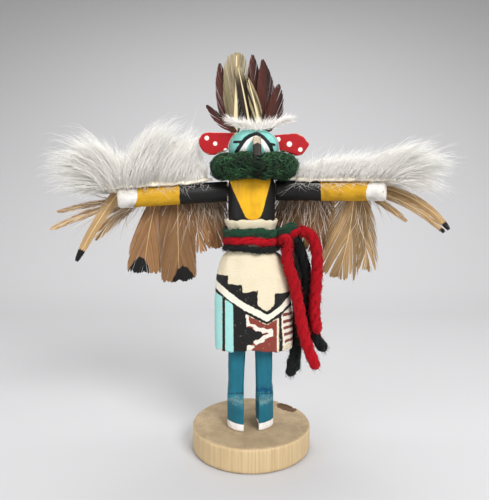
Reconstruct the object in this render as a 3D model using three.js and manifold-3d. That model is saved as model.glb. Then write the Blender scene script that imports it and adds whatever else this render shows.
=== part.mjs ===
// Eagle dancer doll: a carved and painted wooden figure on a branch slice, with felt kilt, yarn sash,
// wool ruff, fur along both arms, and feathers behind the arms and on the head.
// Millimetres, +Z up, the figure faces -Y, origin at the middle of the base underside.
import * as THREE from 'three';
import { mergeVertices } from 'three/addons/utils/BufferGeometryUtils.js';
import Module from 'manifold-3d';

const wasm = await Module();
wasm.setup();

// Fit between neighbouring pieces
const GAP = 0.3;

// Base slice
const BASE_HALF_X = 23.5;
const BASE_HALF_Y = 22.6;
const BASE_HEIGHT = 9.8;
const BASE_EDGE = 0.5;
const BARK_POCKET = { x: 15.6, y: 15.4, long: 5.2, deep: 2.0, high: 1.5, turn: -0.72 };

// Carved figure
const TORSO_HALF_X = 8.95;
const TORSO_HALF_Y = 7.7;
const WAIST_HALF_X = 7.6;
const WAIST_HALF_Y = 6.7;
const CROTCH_Z = 44;
const SHOULDER_Z = 106.2;
const NECK_HALF = 6.7;
const HEAD_X = 0.8;
const HEAD_HALF_X = 9.6;
const HEAD_HALF_Y = 8.4;
const HEAD_BOTTOM_Z = 114.9;
const HEAD_WIDE_Z = 116.6;
const HEAD_DOME = 8.4;
const LEG_FRONT_Y = -5.4;
const LEG_BACK_Y = 6.2;
const ANKLE_Z = 23.2;
const INSTEP_Z = 19.8;
const LEGS = {
  left: { outer: -9.0, inner: -1.8, ankleOuter: -9.0, ankleInner: -3.0, bootOuter: 9.3, bootRadius: 10.7 },
  right: { outer: 8.4, inner: 1.3, ankleOuter: 8.2, ankleInner: 1.9, bootOuter: 8.7, bootRadius: 9.7 },
};
const BOOT_INNER = 2.9;

// Beak, ears and ruff
const BEAK_X = 1.9;
const BEAK_WIDTH = 3.0;
const BEAK_PROFILE = [[-5.5, 121.2], [-9.4, 120.8], [-12.2, 118.2], [-13.9, 113.6], [-12.4, 113.4],
  [-10.8, 115.8], [-5.5, 116]];
const EAR_THICK = 2.0;
const EAR_Y = -1.6;
const LEFT_EAR = [[-5, 122.9], [-16.6, 123.2], [-18.4, 122.5], [-19.7, 120.4], [-19.6, 118.5],
  [-18.2, 116.3], [-16.2, 115.0], [-13.7, 114.9], [-11.1, 116.0], [-5, 117.4]];
const RIGHT_EAR = [[6, 121.9], [11.1, 122.4], [16.7, 122.9], [19.3, 121.6], [21.2, 119.5], [21.6, 118.6],
  [20.1, 116.3], [18.9, 114.9], [16.9, 114.6], [13.2, 115.9], [6, 117.6]];
const RUFF = { x: 1.2, y: 0.2, z: 110.5, ring: 12.2, tube: 4.55, squash: 0.96 };

// Arms
const ARM_RADIUS = 3.85;
const ARM_LENGTH = 40.6;
const ARM_SWEEP = THREE.MathUtils.degToRad(15);
const ARM_ROOT_X = 9.3;
const HAND_ROUND = 0.9;
const WINGS = {
  left: { sign: -1, rootZ: 101.5, tipZ: 99.0 },
  right: { sign: 1, rootZ: 101.7, tipZ: 101.6 },
};

// Felt kilt: height, middle x, half width, half depth, squareness
const FELT = 0.9;
const KILT_ROWS = [
  [90.6, -0.1, 10.1, 8.9, 2.8],
  [89.0, 0, 9.6, 8.5, 2.8],
  [87.6, 0.1, 8.95, 8.0, 2.7],
  [78.6, 0.2, 9.0, 8.1, 2.7],
  [77.2, 0.2, 11.0, 9.1, 2.7],
  [69.4, 0.6, 14.1, 9.8, 2.8],
  [59.7, 0.5, 14.9, 10.2, 3.0],
  [48, 0.8, 15.3, 10.3, 3.1],
  [41.6, 0.8, 15.1, 10.2, 3.2],
];
const KILT_WAIST_ROW = 3;
const KILT_COLUMNS = 30;
const KILT_EDGE = THREE.MathUtils.degToRad(28);
const KILT_OPENING = THREE.MathUtils.degToRad(1.4);

// Sash
const YARN_RADIUS = 1.75;
const BAND_DEPTH = 1.05;
const BANDS = { green_band: [86.0, 1.45], red_band: [82.95, 1.4], black_band: [80.25, 1.1] };
const KNOT = { x: 14.7, y: -4.4, z: 84.4 };
const TAILS = {
  red_tail_outer: [
    [18.5, -5.2, 86.6], [21.0, -5.2, 86.0], [23.3, -5.2, 83.2], [24.6, -5.2, 77.9], [24.7, -5.2, 69.9],
    [24.3, -5.2, 62.2], [24.1, -5.3, 55.6], [24.7, -5.5, 50.6], [25.5, -5.7, 47.4],
  ],
  red_tail_inner: [
    [13.0, -7.9, 80.4], [13.2, -8.5, 76.6], [14.0, -8.7, 72.6], [15.5, -8.5, 68.8], [16.6, -8.4, 63.8],
    [17.8, -8.3, 58.0], [19.0, -8.2, 51.6], [20.6, -8, 45.2], [22.5, -8, 39.8], [24.9, -8, 34.2],
  ],
  black_tail_outer: [
    [17.9, -3.2, 81.2], [18.7, -2.6, 78.2], [20.1, -2, 74.2], [21.3, -2, 69.3], [21.8, -2, 63.7],
    [22.2, -1.8, 57.9], [22.8, -1.4, 52.1], [24.4, -1.2, 46.4], [26.8, -1.2, 42.2], [29.3, -1.2, 39.2],
  ],
  black_tail_inner: [
    [13.9, -3.8, 80.0], [15.5, -2.8, 75.4], [17.3, -1.8, 70.0], [18.0, -1.5, 60.0], [18.3, -1.5, 50.0],
    [18.2, -1.5, 42.6], [16.6, -1.8, 36.0], [15.2, -2.2, 29.2],
  ],
  green_tail_outer: [
    [17.8, 0.7, 81.4], [19.9, 1.5, 75.4], [21.4, 2.0, 68.0], [21.9, 2.2, 61.0], [21.8, 2.6, 55.0],
    [21.9, 3.0, 50.4],
  ],
  green_tail_inner: [
    [13.9, 0.4, 80.8], [15.6, 1.4, 75.4], [17.6, 2.2, 70.0], [18.4, 2.2, 60.0], [18.6, 2.2, 50.0],
    [18.4, 2.0, 42.0], [17.8, 1.6, 36.0], [17.6, 1.2, 29.8],
  ],
};

// Fur: along the arm and height, for the upper outline and for the lower outline
const FUR_HALF = 4.4;
const FUR_BACK = 1.6;
const LOCK = 0.7;
const FUR_CLEAR_OF_EAR = 14.5;
const FUR = {
  left: {
    top: [
      [7.6, 112], [8.4, 119.5], [10.4, 125], [13.5, 127.2], [18.3, 127.5], [24.6, 125.9],
      [30.1, 121.7], [35.5, 116.9], [39.2, 112.6], [41.9, 115.4], [45.9, 118.8], [49.3, 120.1],
      [53.3, 120.3], [58.7, 117.8], [63.5, 114.9], [67.3, 111.4], [68.6, 109.3],
    ],
    bottom: [
      [7.6, 105.3], [40.6, 103.2], [44, 102.4], [57, 101.8], [63.3, 103.2], [66.4, 105.9], [68.6, 108.7],
    ],
  },
  right: {
    top: [
      [9.8, 112.2], [13.4, 114.0], [18.2, 114.1], [25.5, 115.7], [34.4, 115.4], [41.4, 115.0],
      [49.9, 117.0], [54.2, 117.0], [58.2, 116.2], [60.9, 113.6], [63.4, 110.4], [65.4, 105.4],
    ],
    bottom: [[9.8, 105.9], [41, 105.8], [45.2, 104.7], [55.5, 102.5], [62.4, 100.6], [65.4, 102.4]],
  },
};

// Feathers: root along and height, tip along and height, bow, half width, layer behind the arm
const QUILL_HALF = 0.45;
const BLADE_HALF_THICK = 0.4;
const BLADE_SECTION = [[1, 0], [0.35, 1], [-0.35, 1], [-1, 0], [-0.35, -1], [0.35, -1]];
const LAYER = 1.15;
const WING_FEATHERS = {
  left: [
    [38.5, 98.6, 62.0, 93.8, 0.3, 1.3, 2],
    [39.3, 97.0, 64.8, 87.4, 0.5, 1.5, 1],
    [39.6, 101.4, 55.7, 75.8, 0.8, 2.2, 0],
    [31.4, 99.0, 49.2, 83.0, 1.6, 3.1, 3],
    [24.6, 103, 31.4, 69.8, 1.0, 6.5, 1],
    [18.0, 103, 18.0, 66.2, 0.3, 7.0, 0],
    [11.4, 103, 8.8, 77.0, 0.8, 6.6, 1],
    [3.8, 103, 2.2, 78.6, 0.6, 3.6, 2],
  ],
  right: [
    [36.0, 103.2, 63.1, 87.4, -3.2, 2.0, 2],
    [35.4, 101.7, 61.4, 86.4, -2.2, 1.9, 1],
    [33.4, 101.0, 48.6, 90.0, -0.4, 1.2, 3],
    [31.8, 101.0, 46.0, 91.6, -0.6, 1.1, 4],
    [29.8, 103, 34.0, 70.6, -1.2, 4.6, 1],
    [29.2, 103, 23.3, 67.4, -1.2, 8.0, 0],
    [13.4, 103, 13.4, 77.4, -0.8, 6.4, 1],
    [4.0, 103, 3.2, 79.4, -0.6, 3.8, 2],
  ],
};

// Crest: root x, tip x and height, bow, half width, distance behind the face
const CREST = [
  [-5.0, -12.0, 150.0, -1.4, 3.6, 5.6],
  [-6.4, -5.6, 153.7, 0.2, 4.9, 4.4],
  [-0.4, -5.2, 148.4, 0.2, 2.2, 3.2],
  [3.2, -1.4, 143.6, 0.3, 2.4, 2.0],
  [3.4, 0.4, 153.2, -0.6, 3.7, 5.6],
  [5.0, 4.2, 151.1, 0.6, 4.0, 4.4],
  [6.2, 10.3, 141.8, 0.4, 3.5, 3.2],
  [-5.2, -17.0, 133.8, -0.8, 2.1, 2.0],
];
const CREST_DOWN = {
  start: [-10.2, -2.6, 128.0], middle: [2.0, -7.2, 124.2], end: [16.1, -2.6, 130.2], half: 1.9,
};

// Closes a skin from corner points and faces, turned so that it faces outwards.
function skin(points, faces) {
  let volume = 0;
  for (let f = 0; f < faces.length; f += 3) {
    const [a, b, c] = [points[faces[f]], points[faces[f + 1]], points[faces[f + 2]]];
    volume += a.dot(new THREE.Vector3().crossVectors(b, c));
  }
  const turned = volume < 0 ? faces.slice().reverse() : faces;
  const geometry = new THREE.BufferGeometry().setFromPoints(points);
  geometry.setIndex(turned);
  geometry.computeVertexNormals();
  return geometry;
}

// Skin over a row of rings with equal point counts; an open row is capped at both ends.
function loft(rings, closed = false) {
  const count = rings[0].length;
  const points = rings.flat();
  const faces = [];
  const spans = closed ? rings.length : rings.length - 1;
  for (let r = 0; r < spans; r += 1) {
    const next = ((r + 1) % rings.length) * count;
    for (let k = 0; k < count; k += 1) {
      const k1 = (k + 1) % count;
      faces.push(r * count + k, r * count + k1, next + k1, r * count + k, next + k1, next + k);
    }
  }
  if (!closed) {
    const last = (rings.length - 1) * count;
    for (let k = 1; k < count - 1; k += 1) {
      faces.push(0, k + 1, k, last, last + k, last + k + 1);
    }
  }
  return skin(points, faces);
}

// Sheet with a thickness, from matching rows of points on its two sides.
function sheet(outer, inner) {
  const rows = outer.length;
  const cols = outer[0].length;
  const points = [...outer.flat(), ...inner.flat()];
  const back = rows * cols;
  const faces = [];
  const quad = (a, b, c, d) => faces.push(a, b, c, a, c, d);
  for (let r = 0; r < rows - 1; r += 1) {
    for (let k = 0; k < cols - 1; k += 1) {
      const a = r * cols + k;
      quad(a, a + 1, a + cols + 1, a + cols);
      quad(back + a + cols, back + a + cols + 1, back + a + 1, back + a);
    }
    const first = r * cols;
    const end = first + cols - 1;
    quad(first, first + cols, back + first + cols, back + first);
    quad(end, back + end, back + end + cols, end + cols);
  }
  const bottom = (rows - 1) * cols;
  for (let k = 0; k < cols - 1; k += 1) {
    quad(k, back + k, back + k + 1, k + 1);
    quad(bottom + k, bottom + k + 1, back + bottom + k + 1, back + bottom + k);
  }
  return skin(points, faces);
}

// One point of a rounded rectangle; a higher power is squarer.
function ovalPoint(angle, cx, cy, halfX, halfY, power, z) {
  const c = Math.cos(angle);
  const s = Math.sin(angle);
  const x = halfX * Math.sign(c) * Math.abs(c) ** (2 / power);
  const y = halfY * Math.sign(s) * Math.abs(s) ** (2 / power);
  return new THREE.Vector3(cx + x, cy + y, z);
}

function oval(cx, cy, halfX, halfY, power, z, count) {
  const ring = [];
  for (let k = 0; k < count; k += 1) {
    ring.push(ovalPoint((k / count) * Math.PI * 2, cx, cy, halfX, halfY, power, z));
  }
  return ring;
}

// Straight-line reading of a two-column outline.
function along(outline, u) {
  for (let k = 1; k < outline.length; k += 1) {
    const [u0, w0] = outline[k - 1];
    const [u1, w1] = outline[k];
    if (u <= u1) {
      return w0 + (w1 - w0) * Math.max(0, (u - u0) / (u1 - u0));
    }
  }
  return outline[outline.length - 1][1];
}

function solid(geometry) {
  const bare = geometry.clone();
  bare.deleteAttribute('normal');
  bare.deleteAttribute('uv');
  const welded = mergeVertices(bare, 1e-4);
  const vertProperties = Float32Array.from(welded.attributes.position.array);
  const triVerts = Uint32Array.from(welded.index.array);
  return new wasm.Manifold(new wasm.Mesh({ numProp: 3, vertProperties, triVerts }));
}

function surface(body) {
  const mesh = body.getMesh();
  const geometry = new THREE.BufferGeometry();
  geometry.setAttribute('position', new THREE.BufferAttribute(mesh.vertProperties, 3));
  geometry.setIndex(new THREE.BufferAttribute(mesh.triVerts, 1));
  geometry.computeVertexNormals();
  return geometry;
}

// Flat plate from a side outline, standing across the X direction or across the Y direction.
function plate(outline, thick, bevel, inset = bevel) {
  const shape = new THREE.Shape(outline.map(([a, b]) => new THREE.Vector2(a, b)));
  const geometry = new THREE.ExtrudeGeometry(shape, {
    depth: thick - 2 * bevel,
    bevelEnabled: bevel > 0,
    bevelThickness: bevel,
    bevelSize: bevel,
    bevelOffset: -inset,
    bevelSegments: 1,
  });
  geometry.translate(0, 0, bevel - thick / 2);
  return geometry;
}

// Turns a plate drawn in depth and height so that it stands across the X direction
function acrossX(geometry, x) {
  geometry.rotateX(Math.PI / 2);
  geometry.rotateZ(Math.PI / 2);
  geometry.translate(x, 0, 0);
  return solid(geometry);
}

const group = new THREE.Group();
group.name = 'eagle_dancer_doll';

function add(name, geometry, color, roughness) {
  const material = new THREE.MeshStandardMaterial({ color, roughness, metalness: 0 });
  const mesh = new THREE.Mesh(geometry, material);
  mesh.name = name;
  group.add(mesh);
}

// Base: a slightly uneven branch slice with eased edges and one bark pocket in the back rim
function baseRing(z, inset) {
  const ring = oval(0, 0, BASE_HALF_X - inset, BASE_HALF_Y - inset, 2, z, 48);
  return ring.map((p) => {
    const angle = Math.atan2(p.y, p.x);
    const swell = 1 - 0.004 + 0.004 * Math.cos(3 * angle + 0.6);
    return new THREE.Vector3(p.x * swell, p.y * swell, z);
  });
}

const slice = loft([
  baseRing(0, BASE_EDGE),
  baseRing(BASE_EDGE, 0),
  baseRing(BASE_HEIGHT - BASE_EDGE, 0),
  baseRing(BASE_HEIGHT, BASE_EDGE),
]);
const pocket = new THREE.SphereGeometry(1, 10, 6);
pocket.scale(BARK_POCKET.long, BARK_POCKET.deep, BARK_POCKET.high);
pocket.rotateZ(BARK_POCKET.turn);
pocket.translate(BARK_POCKET.x, BARK_POCKET.y, BASE_HEIGHT);
add('base', surface(solid(slice).subtract(solid(pocket))), 0xc9a878, 0.75);

// Figure: torso, neck and head as one column
function domeHalf(z) {
  const t = Math.min(1, Math.max(0, (z - HEAD_WIDE_Z) / HEAD_DOME));
  return Math.sqrt(Math.max(0, 1 - t ** 2.2));
}

function domeTop(x, y) {
  const reach = ((x - HEAD_X) / HEAD_HALF_X) ** 2 + (y / HEAD_HALF_Y) ** 2;
  return HEAD_WIDE_Z + HEAD_DOME * Math.max(0, 1 - reach) ** (1 / 2.2);
}

function column(grow) {
  const torso = [
    [CROTCH_Z, 8.6, 6.9],
    [74.5, 8.3, 7.0],
    [77.0, WAIST_HALF_X, WAIST_HALF_Y],
    [88.4, WAIST_HALF_X, WAIST_HALF_Y],
    [90.9, TORSO_HALF_X, TORSO_HALF_Y],
    [104.4, TORSO_HALF_X, TORSO_HALF_Y],
    [SHOULDER_Z - 0.4, 8.4, 7.3],
    [SHOULDER_Z + 0.6, NECK_HALF, 6.4],
    [HEAD_BOTTOM_Z - 0.7, NECK_HALF, 6.4],
  ];
  const rings = torso.map(([z, hx, hy]) => oval(0.1, 0, hx + grow, hy + grow, 2.8, z, 28));
  rings.push(oval(HEAD_X, 0, HEAD_HALF_X - 0.9 + grow, HEAD_HALF_Y - 0.7 + grow, 2.2, HEAD_BOTTOM_Z, 28));
  for (const share of [0, 0.25, 0.48, 0.68, 0.84, 0.95, 0.995]) {
    const z = HEAD_WIDE_Z + HEAD_DOME * share;
    const half = domeHalf(z);
    rings.push(oval(HEAD_X, 0, HEAD_HALF_X * half + grow, HEAD_HALF_Y * half + grow, 2.1,
      z + grow * share, 28));
  }
  return solid(loft(rings));
}

// Leg: a squared post, narrower at the ankle
function leg({ outer, inner, ankleOuter, ankleInner }) {
  const level = (a, b, z) => oval((a + b) / 2, (LEG_FRONT_Y + LEG_BACK_Y) / 2, Math.abs(a - b) / 2,
    (LEG_BACK_Y - LEG_FRONT_Y) / 2, 7, z, 20);
  return solid(loft([
    level(ankleOuter, ankleInner, BASE_HEIGHT + 2),
    level(ankleOuter, ankleInner, ANKLE_Z),
    level(outer, inner, CROTCH_Z + 4),
  ]));
}

// Boot: the full round of the stick between slot and side, cut down over the instep
function boot({ bootOuter, bootRadius }, sign) {
  const outline = [[sign * BOOT_INNER, LEG_BACK_Y]];
  const first = Math.acos(BOOT_INNER / bootRadius);
  const last = Math.acos(bootOuter / bootRadius);
  for (let k = 0; k <= 7; k += 1) {
    const angle = first + (last - first) * (k / 7);
    outline.push([sign * bootRadius * Math.cos(angle), -bootRadius * Math.sin(angle)]);
  }
  outline.push([sign * bootOuter, LEG_BACK_Y]);
  const shape = new THREE.Shape(outline.map(([x, y]) => new THREE.Vector2(x, y)));
  const plan = new THREE.ExtrudeGeometry(shape, { depth: ANKLE_Z + 3 - BASE_HEIGHT, bevelEnabled: false });
  plan.translate(0, 0, BASE_HEIGHT);
  const side = plate([
    [-14, BASE_HEIGHT - 1], [-14, INSTEP_Z - 1.2], [-9.6, INSTEP_Z], [LEG_FRONT_Y, ANKLE_Z],
    [-1, ANKLE_Z + 1.4], [LEG_BACK_Y + 1, ANKLE_Z + 1.4], [LEG_BACK_Y + 1, BASE_HEIGHT - 1],
  ], 30, 0);
  return solid(plan).intersect(acrossX(side, 0));
}

const figure = column(0)
  .add(leg(LEGS.left)).add(boot(LEGS.left, -1))
  .add(leg(LEGS.right)).add(boot(LEGS.right, 1));
add('figure', surface(figure), 0x2b7d92, 0.55);

// Everything that butts on the head or torso is cut to it with a small gap
const clearance = column(GAP);

const beak = acrossX(plate(BEAK_PROFILE, BEAK_WIDTH, 0.4), BEAK_X);
add('beak', surface(beak.subtract(clearance)), 0x5b4636, 0.6);

function ear(outline) {
  const tab = plate(outline, EAR_THICK, 0.2);
  tab.rotateX(Math.PI / 2);
  tab.translate(0, EAR_Y, 0);
  return surface(solid(tab).subtract(clearance));
}

add('left_ear', ear(LEFT_EAR), 0xc62a2e, 0.5);
add('right_ear', ear(RIGHT_EAR), 0xc62a2e, 0.5);

// Ruff: an uneven wool ring, pressed in under the beak
const ruffRings = [];
for (let k = 0; k < 24; k += 1) {
  const angle = (k / 24) * Math.PI * 2;
  const tube = RUFF.tube * (1 + 0.03 * Math.sin(5 * angle + 0.4) + 0.02 * Math.cos(9 * angle));
  const ring = [];
  for (let j = 0; j < 8; j += 1) {
    const turn = (j / 8) * Math.PI * 2;
    const reach = RUFF.ring + tube * Math.cos(turn);
    const x = RUFF.x + reach * Math.cos(angle);
    const y = RUFF.y + RUFF.squash * reach * Math.sin(angle);
    ring.push(new THREE.Vector3(x, y, RUFF.z + tube * Math.sin(turn)));
  }
  ruffRings.push(ring);
}
const beakDent = acrossX(plate(BEAK_PROFILE, BEAK_WIDTH + 4 * GAP, 2 * GAP, 0), BEAK_X);
const wool = solid(loft(ruffRings, true)).subtract(beakDent).subtract(clearance);
add('ruff', surface(wool), 0x1f4a34, 0.95);

// Point beside an arm: outwards along it, behind it, and height
function wingPoint(wing, out, behind, z) {
  const x = ARM_ROOT_X + out * Math.cos(ARM_SWEEP) + behind * Math.sin(ARM_SWEEP);
  const y = -out * Math.sin(ARM_SWEEP) + behind * Math.cos(ARM_SWEEP);
  return new THREE.Vector3(wing.sign * x, y, z);
}

function arm(wing) {
  const root = wingPoint(wing, -3, 0, wing.rootZ);
  const tip = wingPoint(wing, ARM_LENGTH, 0, wing.tipZ);
  const length = root.distanceTo(tip);
  const profile = [
    [0, 0], [ARM_RADIUS, 0], [ARM_RADIUS, length - HAND_ROUND], [ARM_RADIUS - HAND_ROUND, length],
    [0, length],
  ];
  const dowel = new THREE.LatheGeometry(profile.map(([r, l]) => new THREE.Vector2(r, l)), 18);
  const heading = tip.clone().sub(root).normalize();
  const turn = new THREE.Quaternion().setFromUnitVectors(new THREE.Vector3(0, 1, 0), heading);
  dowel.applyQuaternion(turn);
  dowel.translate(root.x, root.y, root.z);
  return surface(solid(dowel).subtract(clearance));
}

add('left_arm', arm(WINGS.left), 0xd8b23c, 0.5);
add('right_arm', arm(WINGS.right), 0xd8b23c, 0.5);

// Kilt: one felt strip round the waist, open along one edge
const kiltOuter = [];
const kiltInner = [];
for (const [z, cx, hx, hy, power] of KILT_ROWS) {
  const outside = [];
  const inside = [];
  for (let k = 0; k <= KILT_COLUMNS; k += 1) {
    const angle = KILT_EDGE + KILT_OPENING + (k / KILT_COLUMNS) * 2 * (Math.PI - KILT_OPENING);
    outside.push(ovalPoint(angle, cx, 0, hx, hy, power, z));
    inside.push(ovalPoint(angle, cx, 0, hx - FELT, hy - FELT, power, z));
  }
  kiltOuter.push(outside);
  kiltInner.push(inside);
}
add('kilt', sheet(kiltOuter, kiltInner), 0xe8dcc4, 0.95);

// Sash bands: yarn pressed flat round the waist
function band(z, halfHigh) {
  const rings = [];
  const [, cx, hx, hy, power] = KILT_ROWS[KILT_WAIST_ROW];
  const reach = BAND_DEPTH + GAP;
  for (let k = 0; k < 28; k += 1) {
    const angle = (k / 28) * Math.PI * 2;
    const ring = [];
    for (let j = 0; j < 6; j += 1) {
      const turn = ((j + 0.5) / 6) * Math.PI * 2;
      const away = reach + BAND_DEPTH * Math.cos(turn);
      ring.push(ovalPoint(angle, cx, 0, hx + away, hy + away, power, z + halfHigh * Math.sin(turn)));
    }
    rings.push(ring);
  }
  return loft(rings, true);
}

const YARN_COLORS = { green: 0x1c4a33, red: 0xc4081f, black: 0x191a1b };
for (const [name, [z, halfHigh]] of Object.entries(BANDS)) {
  add(name, band(z, halfHigh), YARN_COLORS[name.split('_')[0]], 0.95);
}

// Yarn along a route, as a plain eight-sided tube
function yarn(points, radius, steps) {
  const curve = new THREE.CatmullRomCurve3(points.map((p) => new THREE.Vector3(...p)), false,
    'centripetal');
  const section = new THREE.Shape();
  for (let k = 0; k < 8; k += 1) {
    const angle = ((k + 0.5) / 8) * Math.PI * 2;
    const corner = [radius * Math.cos(angle), radius * Math.sin(angle)];
    if (k === 0) {
      section.moveTo(...corner);
    } else {
      section.lineTo(...corner);
    }
  }
  section.closePath();
  return new THREE.ExtrudeGeometry(section, { steps, extrudePath: curve });
}

// Knot: one strand up and over, one strand round, on a tight middle
const knotMiddle = new THREE.SphereGeometry(1, 10, 8);
knotMiddle.scale(2.5, 2.7, 3.6);
const overStrand = new THREE.TorusGeometry(2.1, 1.4, 7, 11);
overStrand.scale(0.95, 1.3, 1);
overStrand.rotateX(Math.PI / 2);
const roundStrand = new THREE.TorusGeometry(1.9, 1.4, 7, 11);
roundStrand.scale(1, 1.15, 1);
roundStrand.rotateY(0.25);
overStrand.translate(0, -0.2, 0.6);
roundStrand.translate(0.1, 0, -1.4);
const knot = surface(solid(knotMiddle).add(solid(overStrand)).add(solid(roundStrand)));
knot.translate(KNOT.x, KNOT.y, KNOT.z);
add('sash_knot', knot, YARN_COLORS.green, 0.95);

for (const [name, route] of Object.entries(TAILS)) {
  add(name, yarn(route, YARN_RADIUS, 8), YARN_COLORS[name.split('_')[0]], 0.95);
}

// Fur: egg-shaped sections that follow the upper and lower outline, with uneven locks along the top
function fur(wing, { top, bottom }) {
  const start = top[0][0];
  const end = top[top.length - 1][0];
  const count = 26;
  const rings = [];
  for (let k = 0; k <= count; k += 1) {
    const u = start + ((end - start) * k) / count;
    const rim = Math.min(1, 0.35 + 4 * Math.min(k / count, 1 - k / count));
    const lock = k === 0 || k === count ? 0 : LOCK * (k % 2 ? 1 : -1);
    const setBack = 0.9 * Math.max(0, FUR_CLEAR_OF_EAR - u);
    const high = along(top, u) + lock;
    const low = along(bottom, u);
    const middle = (high + low) / 2;
    const half = Math.max(0.4, (high - low) / 2);
    const ring = [];
    for (let j = 0; j < 10; j += 1) {
      const turn = (j / 10) * Math.PI * 2;
      const rise = Math.sign(Math.sin(turn)) * Math.abs(Math.sin(turn)) ** 0.8;
      const narrow = 1 - 0.32 * (rise + 1);
      const behind = FUR_BACK + setBack + FUR_HALF * rim * narrow * Math.cos(turn) + 0.9 * rise;
      ring.push(wingPoint(wing, u, behind, middle + half * rise));
    }
    rings.push(ring);
  }
  return loft(rings);
}

add('left_fur', fur(WINGS.left, FUR.left), 0xdad5cf, 0.95);
add('right_fur', fur(WINGS.right, FUR.right), 0xdad5cf, 0.95);

// Feather blade: a bare quill that opens into a thin vane with a rounded end
function vaneShare(t) {
  const opening = Math.min(1, (t / 0.42) ** 0.8);
  const closing = Math.max(0, (t - 0.6) / 0.4) ** 2.4;
  return opening * Math.sqrt(Math.max(0.03, 1 - closing));
}

function feather(root, control, tip, face, half) {
  const curve = new THREE.QuadraticBezierCurve3(root, control, tip);
  const rings = [];
  for (const t of [0, 0.14, 0.32, 0.5, 0.68, 0.84, 0.95, 1]) {
    const middle = curve.getPoint(t);
    const side = new THREE.Vector3().crossVectors(face, curve.getTangent(t)).normalize();
    const wide = QUILL_HALF + (half - QUILL_HALF) * vaneShare(t);
    const thick = BLADE_HALF_THICK * (1 - 0.4 * t);
    const corner = ([a, b]) => middle.clone()
      .addScaledVector(side, a * wide)
      .addScaledVector(face, b * thick);
    rings.push(BLADE_SECTION.map(corner));
  }
  return loft(rings);
}

// Bowed middle between two ends, moved sideways in the plane that the face points out of
function bowed(root, tip, face, bow) {
  const heading = tip.clone().sub(root).normalize();
  const side = new THREE.Vector3().crossVectors(face, heading).normalize();
  return root.clone().add(tip).multiplyScalar(0.5).addScaledVector(side, bow * 2);
}

const FEATHER_COLORS = { left: 0xb8966c, right: 0xbd9a70 };
for (const [side, list] of Object.entries(WING_FEATHERS)) {
  const wing = WINGS[side];
  const face = new THREE.Vector3(wing.sign * Math.sin(ARM_SWEEP), Math.cos(ARM_SWEEP), 0);
  list.forEach(([rootU, rootZ, tipU, tipZ, bow, half, layer], index) => {
    const behind = ARM_RADIUS + GAP + BLADE_HALF_THICK + layer * LAYER;
    const root = wingPoint(wing, rootU, behind, rootZ);
    const tip = wingPoint(wing, tipU, behind, tipZ);
    const blade = feather(root, bowed(root, tip, face, bow), tip, face, half);
    add(`${side}_feather_${index + 1}`, blade, FEATHER_COLORS[side], 0.8);
  });
}

const CREST_COLORS = [0x5a2c24, 0x9a8560, 0xb5a27a, 0xb5a27a, 0x5a2c24, 0x5a2c24, 0x5a2c24, 0x5a2c24];
const backwards = new THREE.Vector3(0, 1, 0);
CREST.forEach(([rootX, tipX, tipZ, bow, half, y], index) => {
  const root = new THREE.Vector3(rootX, y, domeTop(rootX, y) + 2 * GAP);
  const tip = new THREE.Vector3(tipX, y, tipZ);
  const blade = feather(root, bowed(root, tip, backwards, bow), tip, backwards, half);
  add(`crest_feather_${index + 1}`, blade, CREST_COLORS[index], 0.8);
});

const downEnds = [CREST_DOWN.start, CREST_DOWN.middle, CREST_DOWN.end].map((p) => new THREE.Vector3(...p));
add('crest_down', feather(...downEnds, backwards, CREST_DOWN.half), 0xece8e2, 0.9);

export default group;
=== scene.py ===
# %% [markdown]
# # Eagle dancer doll
# A small dancer carved from one stick stands on a slice of branch. Felt, yarn, wool, fur and feathers dress
# the wood. The solids of the part come in first as a fixed frame in metres: the dancer faces -Y and +Z is up.
# Every piece made below sits where its solid is, so nothing has to be fitted by eye.

# %% Load the frame
import math
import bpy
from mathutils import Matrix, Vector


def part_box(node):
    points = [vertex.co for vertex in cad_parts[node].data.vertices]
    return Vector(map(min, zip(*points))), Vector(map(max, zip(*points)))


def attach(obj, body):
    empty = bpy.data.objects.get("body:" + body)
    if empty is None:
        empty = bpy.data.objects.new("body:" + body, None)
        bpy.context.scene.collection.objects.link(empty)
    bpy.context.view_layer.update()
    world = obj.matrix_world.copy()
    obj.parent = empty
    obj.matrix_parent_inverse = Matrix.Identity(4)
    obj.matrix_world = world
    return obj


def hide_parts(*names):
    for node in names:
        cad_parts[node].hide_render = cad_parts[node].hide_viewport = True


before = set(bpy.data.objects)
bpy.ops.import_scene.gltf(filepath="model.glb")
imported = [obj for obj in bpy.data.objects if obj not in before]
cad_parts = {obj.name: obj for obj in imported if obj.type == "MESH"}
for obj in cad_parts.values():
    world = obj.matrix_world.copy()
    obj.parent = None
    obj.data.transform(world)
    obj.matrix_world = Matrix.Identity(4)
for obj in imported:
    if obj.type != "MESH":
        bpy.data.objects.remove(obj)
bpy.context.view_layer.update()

from types import SimpleNamespace
import bpy
import numpy as np
from mathutils import Vector, noise

MM = 0.001

# %% [markdown]
# ## Camera, floor and light
# The doll is seen from close by, at the height of its arms, so a lens near 36 mm on a 36 mm wide sensor
# gives the strong perspective of a hand-held picture. A pale sweep and three large soft lamps stand in for
# a studio.

# %% Camera
EYE_PLACE = (-2.6 * MM, -188.1 * MM, 100.3 * MM)
EYE_LOOKS_DOWN = 6.5
EYE_LENS, SENSOR_WIDTH, NEAREST_SEEN = 36.07, 36, 0.005
eye = bpy.data.objects.new("eye", bpy.data.cameras.new("eye"))
bpy.context.collection.objects.link(eye)
eye.location = EYE_PLACE
eye.rotation_euler = (math.radians(90 - EYE_LOOKS_DOWN), 0, 0)
eye.data.sensor_fit = "HORIZONTAL"
eye.data.sensor_width = SENSOR_WIDTH
eye.data.lens = EYE_LENS
eye.data.clip_start = NEAREST_SEEN
bpy.context.scene.camera = eye
print("camera at", [round(v * 1000, 1) for v in eye.location], "mm")

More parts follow.
